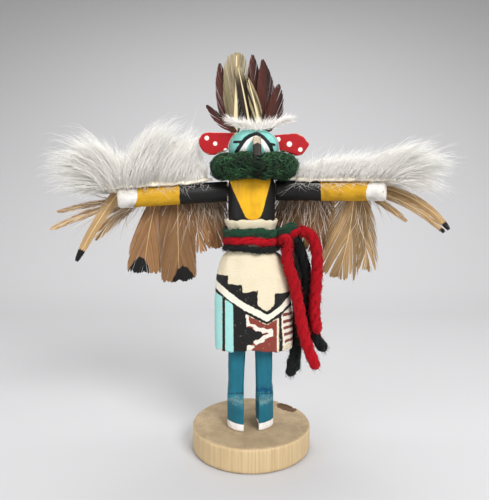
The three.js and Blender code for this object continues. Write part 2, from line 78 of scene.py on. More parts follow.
# %% Floor
PAPER_SIZE, PAPER_CUTS = 1.6, 40
PAPER_RISES_AT, PAPER_STEEPNESS, PAPER_TOP = 0.25, 1.6, 1.0
bpy.ops.object.select_all(action="DESELECT")
bpy.ops.mesh.primitive_plane_add(size=PAPER_SIZE, location=(0, 0, 0))
sweep = bpy.context.active_object
sweep.name = "paper_sweep"
bpy.ops.object.mode_set(mode="EDIT")
bpy.ops.mesh.select_all(action="SELECT")
bpy.ops.mesh.subdivide(number_cuts=PAPER_CUTS)
bpy.ops.object.mode_set(mode="OBJECT")
for vertex in sweep.data.vertices:
    behind = max(0.0, vertex.co.y - PAPER_RISES_AT)
    vertex.co.z = min(PAPER_TOP, PAPER_STEEPNESS * behind ** 1.5)
bpy.ops.object.shade_smooth()
paper = bpy.data.materials.new("pale_paper")
paper.use_nodes = True
paper.node_tree.nodes["Principled BSDF"].inputs["Base Color"].default_value = (0.5, 0.5, 0.51, 1)
paper.node_tree.nodes["Principled BSDF"].inputs["Roughness"].default_value = 0.9
sweep.data.materials.append(paper)
print("floor of", len(sweep.data.polygons), "faces")

# %% Lamps
LAMPS = {
    "key": ((0.3, -0.46, 0.5), 0.3, 4.7),
    "fill": ((-0.5, -0.45, 0.3), 0.5, 2.1),
    "top": ((0.0, 0.12, 0.62), 0.4, 2.8),
}
LAMPS_AIM_AT = Vector((0, 0, 0.08))
for name, (place, size, power) in LAMPS.items():
    light = bpy.data.lights.new(name, "AREA")
    light.size = size
    light.energy = power
    lamp = bpy.data.objects.new(name, light)
    lamp.location = place
    lamp.rotation_euler = (LAMPS_AIM_AT - Vector(place)).to_track_quat("-Z", "Y").to_euler()
    bpy.context.collection.objects.link(lamp)
world = bpy.data.worlds.new("soft_room")
world.use_nodes = True
world.node_tree.nodes["Background"].inputs["Color"].default_value = (0.97, 0.955, 0.94, 1)
world.node_tree.nodes["Background"].inputs["Strength"].default_value = 0.3
bpy.context.scene.world = world
bpy.context.scene.view_settings.view_transform = "Standard"
print("lamps:", list(LAMPS))

# %% [markdown]
# ## Meshes in code
# Hair, wool and barbs are thousands of thin closed strands, too many to place by hand. Each strand is a row
# of three-cornered rings that runs to a point: a closed skin of a few dozen faces. The arrays are filled all
# at once, and every point remembers how far along its strand it is and which shade its strand has. Thicker
# runs, such as plies of yarn and quills, are tubes that remember the same two things.

# %% Piece from arrays
def only(piece):
    bpy.ops.object.select_all(action="DESELECT")
    piece.select_set(True)
    bpy.context.view_layer.objects.active = piece


def remember(piece, field, values):
    layer = piece.data.attributes.new(field, "FLOAT", "POINT")
    layer.data.foreach_set("value", np.asarray(values, np.float32).ravel())


def mesh_piece(name, points, triangles, **fields):
    mesh = bpy.data.meshes.new(name)
    mesh.vertices.add(len(points))
    mesh.vertices.foreach_set("co", np.asarray(points, np.float32).ravel())
    mesh.loops.add(triangles.size)
    mesh.loops.foreach_set("vertex_index", np.asarray(triangles, np.int32).ravel())
    mesh.polygons.add(len(triangles))
    mesh.polygons.foreach_set("loop_start", np.arange(0, triangles.size, 3, dtype=np.int32))
    mesh.update(calc_edges=True)
    piece = bpy.data.objects.new(name, mesh)
    bpy.context.collection.objects.link(piece)
    for field, values in fields.items():
        remember(piece, field, values)
    only(piece)
    bpy.ops.object.shade_smooth()
    return piece

# %% Strands
def unit(v):
    return v / np.maximum(np.linalg.norm(v, axis=-1, keepdims=True), 1e-12)


def strands(lines, half_wide, tone):
    """Closed three-cornered strands along lines[strand, point, xyz], each running to a point."""
    count, steps, _ = lines.shape
    heading = unit(np.gradient(lines, axis=1))
    spin = unit(np.random.default_rng(count).normal(size=(count, 1, 3)))
    side = unit(np.cross(heading, spin))
    up = np.cross(heading, side)
    corners = []
    for angle in (math.radians(210), math.radians(330), math.radians(90)):
        corner = lines + side * (half_wide * math.cos(angle))[..., None]
        corners.append(corner + up * (half_wide * math.sin(angle))[..., None])
    rings = np.stack(corners, axis=2)[:, :-1].reshape(count, -1, 3)
    points = np.concatenate([rings, lines[:, -1:]], axis=1)
    per = 3 * (steps - 1) + 1
    faces = [(0, 2, 1)]
    for ring in range(steps - 2):
        for k in range(3):
            a, b = 3 * ring + k, 3 * ring + (k + 1) % 3
            faces += [(a, b, b + 3), (a, b + 3, a + 3)]
    last = 3 * (steps - 2)
    faces += [(last + k, last + (k + 1) % 3, per - 1) for k in range(3)]
    triangles = (np.arange(count)[:, None, None] * per + np.array(faces)[None]).reshape(-1, 3)
    along = np.repeat(np.linspace(0, 1, steps), 3)[:-2]
    return {
        "points": points.reshape(-1, 3), "triangles": triangles,
        "along": np.tile(along, count), "tone": np.repeat(np.broadcast_to(tone, (count,)), per),
    }


def widths(half_widths, count):
    """The same half widths, given in millimetres, for each of count strands."""
    return np.tile(np.array(half_widths) * MM, (count, 1))


trial = strands(np.cumsum(np.ones((1, 5, 3)), axis=1), widths([1, 1, 1, 1, 0], 1), 0.5)
print("a strand of five points has", len(trial["triangles"]), "faces")

# %% Tubes
def tube(path, side, up, half_side, half_up, sides, closed, tone):
    """Tube along a path, with an oval section; it closes on itself or has closed ends."""
    turn = np.arange(sides) / sides * 2 * math.pi
    rings = path[:, None] + half_side * np.cos(turn)[None, :, None] * side[:, None]
    rings = rings + half_up * np.sin(turn)[None, :, None] * up[:, None]
    count = len(path)
    points = rings.reshape(-1, 3)
    faces = []
    for ring in range(count if closed else count - 1):
        after = (ring + 1) % count
        for k in range(sides):
            a, b = ring * sides + k, ring * sides + (k + 1) % sides
            c, d = after * sides + (k + 1) % sides, after * sides + k
            faces += [(a, b, c), (a, c, d)]
    along = np.repeat(np.linspace(0, 1, count), sides)
    if not closed:
        points = np.concatenate([points, path[:1], path[-1:]])
        along = np.concatenate([along, [0, 1]])
        first, final = count * sides, count * sides + 1
        last_ring = (count - 1) * sides
        for k in range(sides):
            faces.append((first, (k + 1) % sides, k))
            faces.append((final, last_ring + k, last_ring + (k + 1) % sides))
    triangles = np.array(faces)
    a, b, c = (points[triangles[:, k]] for k in range(3))
    if np.einsum("ij,ij->", a, np.cross(b, c)) < 0:
        triangles = triangles[:, ::-1]
    return {"points": points, "triangles": triangles, "along": along, "tone": np.full(len(points), tone)}


def gather(parts):
    """Several skins as one, for one piece."""
    start = np.cumsum([0] + [len(p["points"]) for p in parts])
    whole = {key: np.concatenate([p[key] for p in parts]) for key in parts[0] if key != "triangles"}
    whole["triangles"] = np.concatenate([p["triangles"] + s for p, s in zip(parts, start)])
    return whole


straight = np.linspace((0, 0, 0), (0, 0, 1), 4)
sideways, forwards = np.tile([1.0, 0, 0], (4, 1)), np.tile([0, 1.0, 0], (4, 1))
trial = tube(straight, sideways, forwards, 1, 1, 6, False, 0.5)
print("a six-sided tube along four points has", len(trial["triangles"]), "faces")

# %% [markdown]
# ## Finishes
# Paint, wool, hair and feather share a few effects: a ragged brush edge between two paints, the streaks that
# a brush leaves, and the change of shade from root to tip of a fibre. Each effect is one node group that the
# materials place with their own values. Where paint goes is stored on the mesh as a distance in millimetres,
# below zero inside a painted shape, so an edge stays sharp however coarse the mesh is.

# %% Node helpers
def srgb(r, g, b):
    shares = [c / 255 for c in (r, g, b)]
    return (*(s / 12.92 if s <= 0.04 else ((s + 0.055) / 1.055) ** 2.4 for s in shares), 1)


def add_node(tree, kind, settings=None, inputs=None):
    made = tree.nodes.new(kind)
    for key, value in (settings or {}).items():
        setattr(made, key, value)
    for key, value in (inputs or {}).items():
        if isinstance(value, bpy.types.NodeSocket):
            tree.links.new(value, made.inputs[key])
        else:
            made.inputs[key].default_value = value
    return made


def maths(tree, operation, a, b=0.0):
    return add_node(tree, "ShaderNodeMath", {"operation": operation}, {0: a, 1: b}).outputs[0]


def scaled(tree, value, factor):
    return maths(tree, "MULTIPLY", value, factor)


def ramped(tree, value, low, high, top=1.0):
    """0 at low, top at high and a straight run between them."""
    ends = {"Value": value, "From Min": low, "From Max": high, "To Max": top}
    return add_node(tree, "ShaderNodeMapRange", None, ends).outputs[0]


def blend(tree, share, a, b, way="MIX"):
    made = add_node(tree, "ShaderNodeMix", {"data_type": "RGBA", "blend_type": way}, {0: share, 6: a, 7: b})
    return made.outputs[2]


def stored(tree, field):
    return add_node(tree, "ShaderNodeAttribute", {"attribute_name": field}).outputs["Fac"]


def grained(tree, scale, detail=3, stretch=(1, 1, 1)):
    place = add_node(tree, "ShaderNodeTexCoord").outputs["Object"]
    spread = add_node(tree, "ShaderNodeMapping", None, {"Vector": place, "Scale": stretch}).outputs[0]
    inputs = {"Vector": spread, "Scale": scale, "Detail": detail}
    return add_node(tree, "ShaderNodeTexNoise", None, inputs).outputs["Fac"]


def effect(name, inputs, outputs):
    tree = bpy.data.node_groups.new(name, "ShaderNodeTree")
    for way, labels in (("INPUT", inputs), ("OUTPUT", outputs)):
        for label, kind in labels.items():
            tree.interface.new_socket(label, in_out=way, socket_type=kind)
    return tree, tree.nodes.new("NodeGroupInput").outputs, tree.nodes.new("NodeGroupOutput").inputs


def placed(tree, group, inputs):
    return add_node(tree, "ShaderNodeGroup", {"node_tree": group}, inputs).outputs


print("a grey of 128 in 255 is", round(srgb(128, 128, 128)[0], 3), "in linear light")

# %% Effects that several finishes share
NUMBER, COLOUR = "NodeSocketFloat", "NodeSocketColor"
EDGE_SOFTNESS = 0.09
ragged_edge, given, result = effect(
    "ragged_edge", {"Distance": NUMBER, "Raggedness": NUMBER}, {"Mask": NUMBER})
rough = maths(ragged_edge, "SUBTRACT", grained(ragged_edge, 900), 0.5)
shifted = maths(ragged_edge, "ADD", scaled(ragged_edge, rough, given["Raggedness"]), given["Distance"])
ragged_edge.links.new(ramped(ragged_edge, shifted, EDGE_SOFTNESS, -EDGE_SOFTNESS), result["Mask"])

brush_streaks, given, result = effect(
    "brush_streaks", {"Color": COLOUR, "Streaks": NUMBER, "Strength": NUMBER},
    {"Color": COLOUR, "Height": NUMBER, "Roughness": NUMBER})
fine_streaks = scaled(brush_streaks, given["Streaks"], 0.6)
height = maths(brush_streaks, "ADD", fine_streaks, scaled(brush_streaks, grained(brush_streaks, 140, 4), 0.4))
darker = blend(brush_streaks, 1.0, given["Color"], (0.6, 0.58, 0.57, 1), "MULTIPLY")
lighter = blend(brush_streaks, 1.0, given["Color"], (1.16, 1.16, 1.16, 1), "MULTIPLY")
streaked = blend(brush_streaks, ramped(brush_streaks, height, 0.3, 0.7), darker, lighter)
brush_streaks.links.new(blend(brush_streaks, given["Strength"], given["Color"], streaked), result["Color"])
brush_streaks.links.new(height, result["Height"])
dullness = maths(brush_streaks, "ADD", scaled(brush_streaks, height, 0.3), 0.36)
brush_streaks.links.new(dullness, result["Roughness"])

fibre_shade, given, result = effect(
    "fibre_shade", {"Root": COLOUR, "Tip": COLOUR, "Along": NUMBER, "Tone": NUMBER, "Contrast": NUMBER},
    {"Color": COLOUR})
ends = blend(fibre_shade, given["Along"], given["Root"], given["Tip"])
from_middle = maths(fibre_shade, "SUBTRACT", given["Tone"], 0.5)
brightness = maths(fibre_shade, "ADD", scaled(fibre_shade, from_middle, given["Contrast"]), 1.0)
shade = add_node(fibre_shade, "ShaderNodeHueSaturation", None, {"Color": ends, "Value": brightness})
fibre_shade.links.new(shade.outputs[0], result["Color"])
print("effects:", [g.name for g in (ragged_edge, brush_streaks, fibre_shade)])

# %% Material makers
def finish_of(name, roughness=0.8, sheen=0.0, shine=0.25):
    made = bpy.data.materials.new(name)
    made.use_nodes = True
    bsdf = made.node_tree.nodes["Principled BSDF"]
    bsdf.inputs["Roughness"].default_value = roughness
    bsdf.inputs["Specular IOR Level"].default_value = shine
    bsdf.inputs["Sheen Weight"].default_value = sheen
    bsdf.inputs["Sheen Roughness"].default_value = 0.6
    return made, made.node_tree, bsdf


def raise_by(tree, bsdf, height, strength, reach):
    bump = add_node(tree, "ShaderNodeBump", None, {"Height": height, "Strength": strength, "Distance": reach})
    tree.links.new(bump.outputs[0], bsdf.inputs["Normal"])


def mottled(name, dark, pale, patches, bumps, strength, reach, surface):
    """Two shades in soft patches over a bumpy surface; surface holds roughness, sheen and shine."""
    made, tree, bsdf = finish_of(name, *surface)
    tree.links.new(blend(tree, grained(tree, patches, 5), dark, pale), bsdf.inputs["Base Color"])
    raise_by(tree, bsdf, grained(tree, *bumps), strength, reach)
    return made


def shaded_fibre(tree, root, tip, contrast):
    along, tone = stored(tree, "along"), stored(tree, "tone")
    inputs = {"Root": root, "Tip": tip, "Along": along, "Tone": tone, "Contrast": contrast}
    return placed(tree, fibre_shade, inputs)["Color"]


def fibres(name, root, tip, contrast, roughness, sheen):
    """Wool or hair: a shade from root to tip that differs from strand to strand, with fine specks."""
    made, tree, bsdf = finish_of(name, roughness, sheen, 0.12)
    specks = scaled(tree, grained(tree, 2600, 2), 0.3)
    speckled = blend(tree, specks, shaded_fibre(tree, root, tip, contrast), (0.25, 0.25, 0.25, 1), "MULTIPLY")
    tree.links.new(speckled, bsdf.inputs["Base Color"])
    raise_by(tree, bsdf, grained(tree, 3200, 2), 0.35, 0.0002)
    return made

# %% Brushed paint
BARE_WOOD, GRIME = srgb(188, 150, 104), (0.42, 0.38, 0.32, 1)
EVEN, UPRIGHT, OUTWARD = (1, 1, 1), (1, 1, 0.16), (0.2, 1, 1)


def paint_over(tree, under, field, colour, ragged):
    inputs = {"Distance": stored(tree, field), "Raggedness": ragged}
    return blend(tree, placed(tree, ragged_edge, inputs)["Mask"], under, colour)


def painted(name, ground, layers, stretch, strength, ragged, worn=0.5, grime=0.3):
    """Brushed paint: the ground all over, then each layer where its stored field is below zero."""
    made, tree, bsdf = finish_of(name)
    colour = ground
    for field, shade_of, *own_raggedness in layers:
        colour = paint_over(tree, colour, field, shade_of, own_raggedness[0] if own_raggedness else ragged)
    streaks = grained(tree, 700, 4, stretch)
    worked = placed(tree, brush_streaks, {"Color": colour, "Streaks": streaks, "Strength": strength})
    patches = scaled(tree, ramped(tree, grained(tree, 210, 8), 0.52, 0.72), grime)
    dirty = blend(tree, patches, worked["Color"], GRIME, "MULTIPLY")
    rubbed = maths(tree, "ADD", scaled(tree, stored(tree, "edge"), worn), grained(tree, 480, 6))
    tree.links.new(blend(tree, ramped(tree, rubbed, 0.8, 0.88), dirty, BARE_WOOD), bsdf.inputs["Base Color"])
    tree.links.new(worked["Roughness"], bsdf.inputs["Roughness"])
    raise_by(tree, bsdf, worked["Height"], 0.3, 0.0003)
    print(name, "with", len(layers) + 1, "paints")
    return made

# %% Piece handed over
def finished(piece, material, slot, *nodes):
    """Gives a piece its finish, ties it to the doll's body and puts it in the place of its solids."""
    piece.data.materials.clear()
    piece.data.materials.append(material)
    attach(piece, "root")
    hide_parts(*nodes)
    piece.data.calc_loop_triangles()
    print(piece.name, len(piece.data.loop_triangles), "triangles for", ", ".join(nodes))
    return piece

# %% [markdown]
# ## Sash yarn
# Three soft strands of wool, green, red and black, are drawn tight round the waist, tied at one hip and left
# hanging. A strand is four plies twisted together, with loose fuzz standing off it. A plain tube would look
# like plastic, so each ply is swept round the strand's own line and the fuzz is added as short strands.

# %% Routes of the hanging ends
TAILS = {
    "red_tail_outer": [
        (18.5, -5.2, 86.6), (21.0, -5.2, 86.0), (23.3, -5.2, 83.2), (24.6, -5.2, 77.9), (24.7, -5.2, 69.9),
        (24.3, -5.2, 62.2), (24.1, -5.3, 55.6), (24.7, -5.5, 50.6), (25.5, -5.7, 47.4)],
    "red_tail_inner": [
        (13.0, -7.9, 80.4), (13.2, -8.5, 76.6), (14.0, -8.7, 72.6), (15.5, -8.5, 68.8), (16.6, -8.4, 63.8),
        (17.8, -8.3, 58.0), (19.0, -8.2, 51.6), (20.6, -8, 45.2), (22.5, -8, 39.8), (24.9, -8, 34.2)],
    "black_tail_outer": [
        (17.9, -3.2, 81.2), (18.7, -2.6, 78.2), (20.1, -2, 74.2), (21.3, -2, 69.3), (21.8, -2, 63.7),
        (22.2, -1.8, 57.9), (22.8, -1.4, 52.1), (24.4, -1.2, 46.4), (26.8, -1.2, 42.2), (29.3, -1.2, 39.2)],
    "black_tail_inner": [
        (13.9, -3.8, 80.0), (15.5, -2.8, 75.4), (17.3, -1.8, 70.0), (18.0, -1.5, 60.0), (18.3, -1.5, 50.0),
        (18.2, -1.5, 42.6), (16.6, -1.8, 36.0), (15.2, -2.2, 29.2)],
    "green_tail_outer": [
        (17.8, 0.7, 81.4), (19.9, 1.5, 75.4), (21.4, 2.0, 68.0), (21.9, 2.2, 61.0), (21.8, 2.6, 55.0),
        (21.9, 3.0, 50.4)],
    "green_tail_inner": [
        (13.9, 0.4, 80.8), (15.6, 1.4, 75.4), (17.6, 2.2, 70.0), (18.4, 2.2, 60.0), (18.6, 2.2, 50.0),
        (18.4, 2.0, 42.0), (17.8, 1.6, 36.0), (17.6, 1.2, 29.8)],
}


def smooth_route(points, steps):
    """Evenly spaced points on one smooth curve through a few chosen ones, given in millimetres."""
    p = np.array(points, float) * MM
    reach = np.concatenate([[0], np.cumsum(np.linalg.norm(np.diff(p, axis=0), axis=1))])
    slope = np.gradient(p, reach, axis=0)
    t = np.linspace(0, reach[-1], steps)
    k = np.clip(np.searchsorted(reach, t, side="right") - 1, 0, len(p) - 2)
    h = (reach[k + 1] - reach[k])[:, None]
    s = (t - reach[k])[:, None] / h
    start = (1 + 2 * s) * (1 - s) ** 2 * p[k] + s * (1 - s) ** 2 * h * slope[k]
    return start + s * s * (3 - 2 * s) * p[k + 1] + s * s * (s - 1) * h * slope[k + 1]


TAIL_STEPS = 72
tail_paths = {name: smooth_route(points, TAIL_STEPS) for name, points in TAILS.items()}
print("hanging ends:", list(tail_paths))

# %% Twisted strand
PLIES, PLY_OFFSET, PLY_SIZE, PLY_SIDES = 4, 0.37, 0.65, 8
PLY_TONES, FUZZ_TONES = (0.4, 0.52), (0.35, 0.9)
FUZZ_LENGTH, FUZZ_LIFT, FUZZ_DEPTH, FUZZ_WIDTHS = (0.6, 2.1), (-0.05, 0.8), 0.93, [0.08, 0.06, 0]


def carried_frame(path):
    """Side and up directions that turn as little as they can along a path."""
    heading = unit(np.gradient(path, axis=0))
    side = np.zeros_like(path)
    side[0] = unit(np.cross(heading[0], (0.3, 1.0, 0.2)))
    for k in range(1, len(path)):
        side[k] = unit(side[k - 1] - heading[k] * np.dot(side[k - 1], heading[k]))
    return side, np.cross(heading, side)


def loose_fuzz(path, side, up, half_side, half_up, swell, count, dice):
    at = dice.integers(0, len(path), count)
    turn = dice.uniform(0, 2 * math.pi, count)[:, None]
    out = side[at] * np.cos(turn) + up[at] * np.sin(turn)
    depth = (swell[at] * FUZZ_DEPTH)[:, None]
    root = path[at] + depth * (side[at] * half_side * np.cos(turn) + up[at] * half_up * np.sin(turn))
    heading = unit(np.gradient(path, axis=0))[at] * dice.choice([-1, 1], count)[:, None]
    length = dice.uniform(*FUZZ_LENGTH, count)[:, None] * MM
    lift = dice.uniform(*FUZZ_LIFT, count)[:, None]
    curl = unit(dice.normal(size=(count, 3)))
    middle = root + length * (0.5 * heading + 0.4 * lift * out)
    tip = root + length * (0.85 * heading + lift * out + 0.3 * curl)
    lines = np.stack([root, middle, tip], 1)
    return strands(lines, widths(FUZZ_WIDTHS, count), dice.uniform(*FUZZ_TONES, count))


def twisted(path, side, up, half_side, half_up, pitch, fuzz, seed, closed=False, rounded=True):
    """Soft plies laid round a path, with short loose fibres standing off them."""
    dice = np.random.default_rng(seed)
    reach = np.concatenate([[0], np.cumsum(np.linalg.norm(np.diff(path, axis=0), axis=1))])
    turns = max(1, round(reach[-1] / pitch)) if closed else reach[-1] / pitch
    swell = 1 + 0.05 * np.sin(reach * 1300 + seed)
    if rounded and not closed:
        past = np.clip((reach - reach[-1] + half_side) / half_side, 0, 1)
        swell = swell * np.sqrt(np.clip(1 - past ** 2, 0.12, 1))
    full_run = reach[-1] + (reach[1] if closed else 0)
    size = swell[:, None]
    parts = []
    for ply in range(PLIES):
        angle = 2 * math.pi * (turns * reach / full_run + ply / PLIES)
        line = path + side * (PLY_OFFSET * half_side * swell * np.cos(angle))[:, None]
        line = line + up * (PLY_OFFSET * half_up * swell * np.sin(angle))[:, None]
        halves = (PLY_SIZE * half_side, PLY_SIZE * half_up)
        parts.append(tube(line, side * size, up * size, *halves, PLY_SIDES, closed, dice.uniform(*PLY_TONES)))
    parts.append(loose_fuzz(path, side, up, half_side, half_up, swell, fuzz, dice))
    return gather(parts)


trial = twisted(straight, *carried_frame(straight), MM, MM, 1, 10, 0)
print("a trial strand with ten loose fibres has", len(trial["triangles"]), "faces")

# %% Hanging ends
YARN_RADIUS, TAIL_PITCH, TAIL_FUZZ = 2.2 * MM, 19 * MM, 900
YARNS = {
    "red": fibres("red_wool", srgb(158, 2, 18), srgb(184, 6, 27), 0.5, 0.9, 0.05),
    "green": fibres("green_wool", srgb(16, 52, 34), srgb(26, 72, 48), 0.8, 0.9, 0.1),
    "black": fibres("black_wool", srgb(14, 15, 15), srgb(26, 29, 28), 0.8, 0.9, 0.06),
}


def run_of(path):
    return float(np.linalg.norm(np.diff(path, axis=0), axis=1).sum())


for index, (name, path) in enumerate(tail_paths.items()):
    colour = name.split("_")[0]
    parts = twisted(path, *carried_frame(path), YARN_RADIUS, YARN_RADIUS, TAIL_PITCH, TAIL_FUZZ, 20 + index)
    tail = finished(mesh_piece(f"{name}_wool", **parts), YARNS[colour], f"{colour}_yarn", name)
    print(name, round(run_of(path) * 1000, 1), "mm long")

# %% Bands round the waist
BAND_DEPTH, BAND_SQUARENESS, BAND_STEPS = 1.05, 2.7, 130
BANDS = {"green": (86.0, 1.55), "red": (82.95, 1.5), "black": (80.25, 1.2)}
TIED_PITCH, BAND_FUZZ = 17 * MM, 1100


def oval_ring(cx, half_x, half_y, power, z, angles):
    c, s = np.cos(angles), np.sin(angles)
    x = cx + half_x * np.sign(c) * np.abs(c) ** (2 / power)
    y = half_y * np.sign(s) * np.abs(s) ** (2 / power)
    return np.stack([x, y, np.broadcast_to(z, x.shape)], -1) * MM


for index, (colour, (z, half_high)) in enumerate(BANDS.items()):
    low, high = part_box(f"{colour}_band")
    angles = np.linspace(0, 2 * math.pi, BAND_STEPS, endpoint=False)
    sag = 0.35 * np.sin(angles * 3 + index) + 0.2 * np.sin(angles * 8 + 2 * index)
    half_x, half_y = (high[0] - low[0]) * 500 - BAND_DEPTH, (high[1] - low[1]) * 500 - BAND_DEPTH
    ring = oval_ring((high[0] + low[0]) * 500, half_x, half_y, BAND_SQUARENESS, z + sag, angles)
    heading = unit(np.roll(ring, -1, 0) - np.roll(ring, 1, 0))
    up = np.tile([0.0, 0.0, 1.0], (len(ring), 1))
    side = unit(np.cross(heading, up))
    halves = (BAND_DEPTH * MM, half_high * MM)
    parts = twisted(ring, side, up, *halves, TIED_PITCH, BAND_FUZZ, 40 + index, closed=True)
    finished(mesh_piece(f"{colour}_band_wool", **parts), YARNS[colour], f"{colour}_yarn", f"{colour}_band")

# %% Knot at the hip
KNOT_STRANDS = {
    "green": [[(10.6, -6.2, 86.0), (12.6, -7.2, 87.0), (14.6, -6.6, 88.4), (16.4, -5.0, 87.4),
               (16.6, -3.4, 84.6), (14.9, -2.6, 82.6), (14.0, -0.6, 81.4)]],
    "red": [[(10.6, -6.8, 83.0), (12.6, -8.2, 84.2), (13.6, -8.4, 82.6), (13.1, -8.0, 80.4)],
            [(13.4, -5.6, 84.6), (15.4, -6.0, 86.0), (17.0, -5.4, 86.7), (18.5, -5.2, 86.6)]],
    "black": [[(10.8, -6.0, 80.4), (12.8, -6.2, 82.0), (15.0, -5.0, 83.6), (17.0, -4.0, 83.2),
               (17.9, -3.2, 81.2)]],
}
KNOT_RADIUS, KNOT_STEPS, KNOT_FUZZ = 1.65 * MM, 40, 320
for index, (colour, routes) in enumerate(KNOT_STRANDS.items()):
    parts = []
    for points in routes:
        path = smooth_route(points, KNOT_STEPS)
        side, up = carried_frame(path)
        parts.append(twisted(path, side, up, KNOT_RADIUS, KNOT_RADIUS, TIED_PITCH, KNOT_FUZZ, 60 + index,
                             rounded=False))
    finished(mesh_piece(f"knot_{colour}_wool", **gather(parts)), YARNS[colour], f"{colour}_yarn", "sash_knot")

# %% [markdown]
# ## Carved wood
# Head, body, legs and boots are one whittled stick; arms, ears and beak are glued on. The solids already
# have the shape, with flat facets. A copy of each is merged, remeshed finely and smoothed, which rounds every
# arris as knife and paint do, and a little noise leaves the uneven surface of hand work.

# %% Points of a piece
def per_point(piece, what):
    out = np.empty(len(piece.data.vertices) * 3, np.float32)
    piece.data.vertices.foreach_get(what, out)
    return out.reshape(-1, 3).astype(float)


def places_of(piece):
    return per_point(piece, "co")


def normals_of(piece):
    return per_point(piece, "normal")


def move_points(piece, places):
    piece.data.vertices.foreach_set("co", places.astype(np.float32).ravel())
    piece.data.update()


SHARP_EDGE = 0.05 * MM


def convexity(piece):
    """How far each point stands out from its neighbours, from 0 on a flat to 1 on a sharp edge."""
    places, normals = places_of(piece), normals_of(piece)
    ends = np.empty(len(piece.data.edges) * 2, np.int32)
    piece.data.edges.foreach_get("vertices", ends)
    ends = ends.reshape(-1, 2)
    total, count = np.zeros_like(places), np.zeros(len(places))
    for a, b in ((0, 1), (1, 0)):
        np.add.at(total, ends[:, a], places[ends[:, b]])
        np.add.at(count, ends[:, a], 1)
    proud = np.einsum("ij,ij->i", places - total / count[:, None], normals)
    return np.clip(proud / SHARP_EDGE, 0, 1)


solid_points = places_of(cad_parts["figure"]) / MM
print("the figure's solid:", len(solid_points), "points up to", solid_points[:, 2].max().round(1), "mm")

# %% Worked copy of a solid
BROAD_BUMPS, FINE_BUMPS = 220, 600


def worked_copy(name, node, voxel, rounds, unevenness):
    """Remeshed and smoothed copy of a solid; the voxel and the unevenness are in millimetres."""
    piece = bpy.data.objects.new(name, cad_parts[node].data.copy())
    bpy.context.collection.objects.link(piece)
    only(piece)
    bpy.ops.object.mode_set(mode="EDIT")
    bpy.ops.mesh.select_all(action="SELECT")
    bpy.ops.mesh.remove_doubles(threshold=1e-6)
    bpy.ops.object.mode_set(mode="OBJECT")
    fine = piece.modifiers.new("fine", "REMESH")
    fine.mode = "VOXEL"
    fine.voxel_size = voxel * MM
    bpy.ops.object.modifier_apply(modifier="fine")
    soft = piece.modifiers.new("soft", "SMOOTH")
    soft.iterations = rounds
    bpy.ops.object.modifier_apply(modifier="soft")
    places, normals = places_of(piece), normals_of(piece)
    bumps = [noise.noise(Vector(p) * BROAD_BUMPS) + 0.5 * noise.noise(Vector(p) * FINE_BUMPS) for p in places]
    move_points(piece, places + normals * (np.array(bumps) * unevenness * MM)[:, None])
    bpy.ops.object.shade_smooth()
    remember(piece, "edge", convexity(piece))
    print(name, "remeshed to", len(piece.data.polygons), "faces")
    return piece

# %% Distances to drawn shapes
FAR_OUTSIDE = 5.0


def line_distance(spots, corners, closed=False):
    corners = np.array(corners, float)
    ends = np.roll(corners, -1, 0) if closed else corners[1:]
    nearest = np.full(len(spots), 1e9)
    for a, b in zip(corners, ends):
        step = b - a
        share = np.clip(((spots - a) @ step) / max(step @ step, 1e-9), 0, 1)
        nearest = np.minimum(nearest, np.linalg.norm(spots - a - share[:, None] * step, axis=1))
    return nearest


def nearest_line(spots, lines):
    return np.min([line_distance(spots, line) for line in lines], axis=0)


def shape_distance(spots, corners):
    """Distance to the edge of a flat shape, below zero inside it."""
    inside = np.zeros(len(spots), bool)
    corners = np.array(corners, float)
    for a, b in zip(corners, np.roll(corners, -1, 0)):
        crosses = (a[1] > spots[:, 1]) != (b[1] > spots[:, 1])
        with np.errstate(divide="ignore", invalid="ignore"):
            at = a[0] + (spots[:, 1] - a[1]) / (b[1] - a[1]) * (b[0] - a[0])
        inside ^= crosses & (spots[:, 0] < at)
    return np.where(inside, -1, 1) * line_distance(spots, corners, True)


def front_only(field, spots, limit):
    """The field on points before a depth, and no paint behind it."""
    return np.where(spots[:, 1] < limit, field, FAR_OUTSIDE)


middle_of_square = shape_distance(np.zeros((1, 2)), [(-1, -1), (1, -1), (1, 1), (-1, 1)])[0]
print("distance in the middle of a square two wide:", middle_of_square)

# %% Figure
figure = worked_copy("carved_figure", "figure", 0.6, 2, 0.1)
spots = places_of(figure) / MM
front, heights = spots[:, [0, 2]], spots[:, 2]
BIB = [
    (-8.9, 107.5), (-6.8, 101.8), (-5.1, 98.2), (-3.5, 94.6), (-2.2, 92.0), (-0.9, 90.9),
    (2.0, 90.9), (3.3, 92.0), (4.3, 94.6), (5.2, 98.2), (6.2, 101.8), (7.7, 107.5)]
BROW = [
    (-5.6, 115.6), (-3.9, 118.0), (-2.4, 120.1), (-0.6, 121.4), (1.9, 122.3), (3.9, 121.1), (5.6, 119.4),
    (7.0, 117.3), (7.9, 115.0)]
CHEEKS = [
    [(1.5, 121.0), (-0.7, 119.8), (-2.2, 118.0), (-3.8, 115.0)],
    [(2.2, 121.0), (3.8, 119.3), (5.3, 116.9), (6.4, 114.0)]]
EYES = [[(-6.4, 119.3), (-3.2, 119.1)], [(6.0, 118.6), (8.4, 118.3)]]
CHEEK_TOP, CHEEK_HALF, CHEEK_FLARE, CHEEK_FLARE_END = 121, 0.7, 0.05, 6
BROW_HALF, EYE_HALF = 0.72, 0.5
SHIRT_Z, NECK_Z, FACE_Z, SOLE_Z = 58, 109.5, 110, 13.0
BOOT_CREASE_Z, INSTEP_Z, SPLINTERS_Z, BOOT_FRONT_Y = 23.4, 21.4, 24.9, -3.5


def front_band(z, half, front_y=BOOT_FRONT_Y):
    """Level band round a height, on the points before a depth."""
    return np.maximum(np.abs(heights - z) - half, spots[:, 1] - front_y)


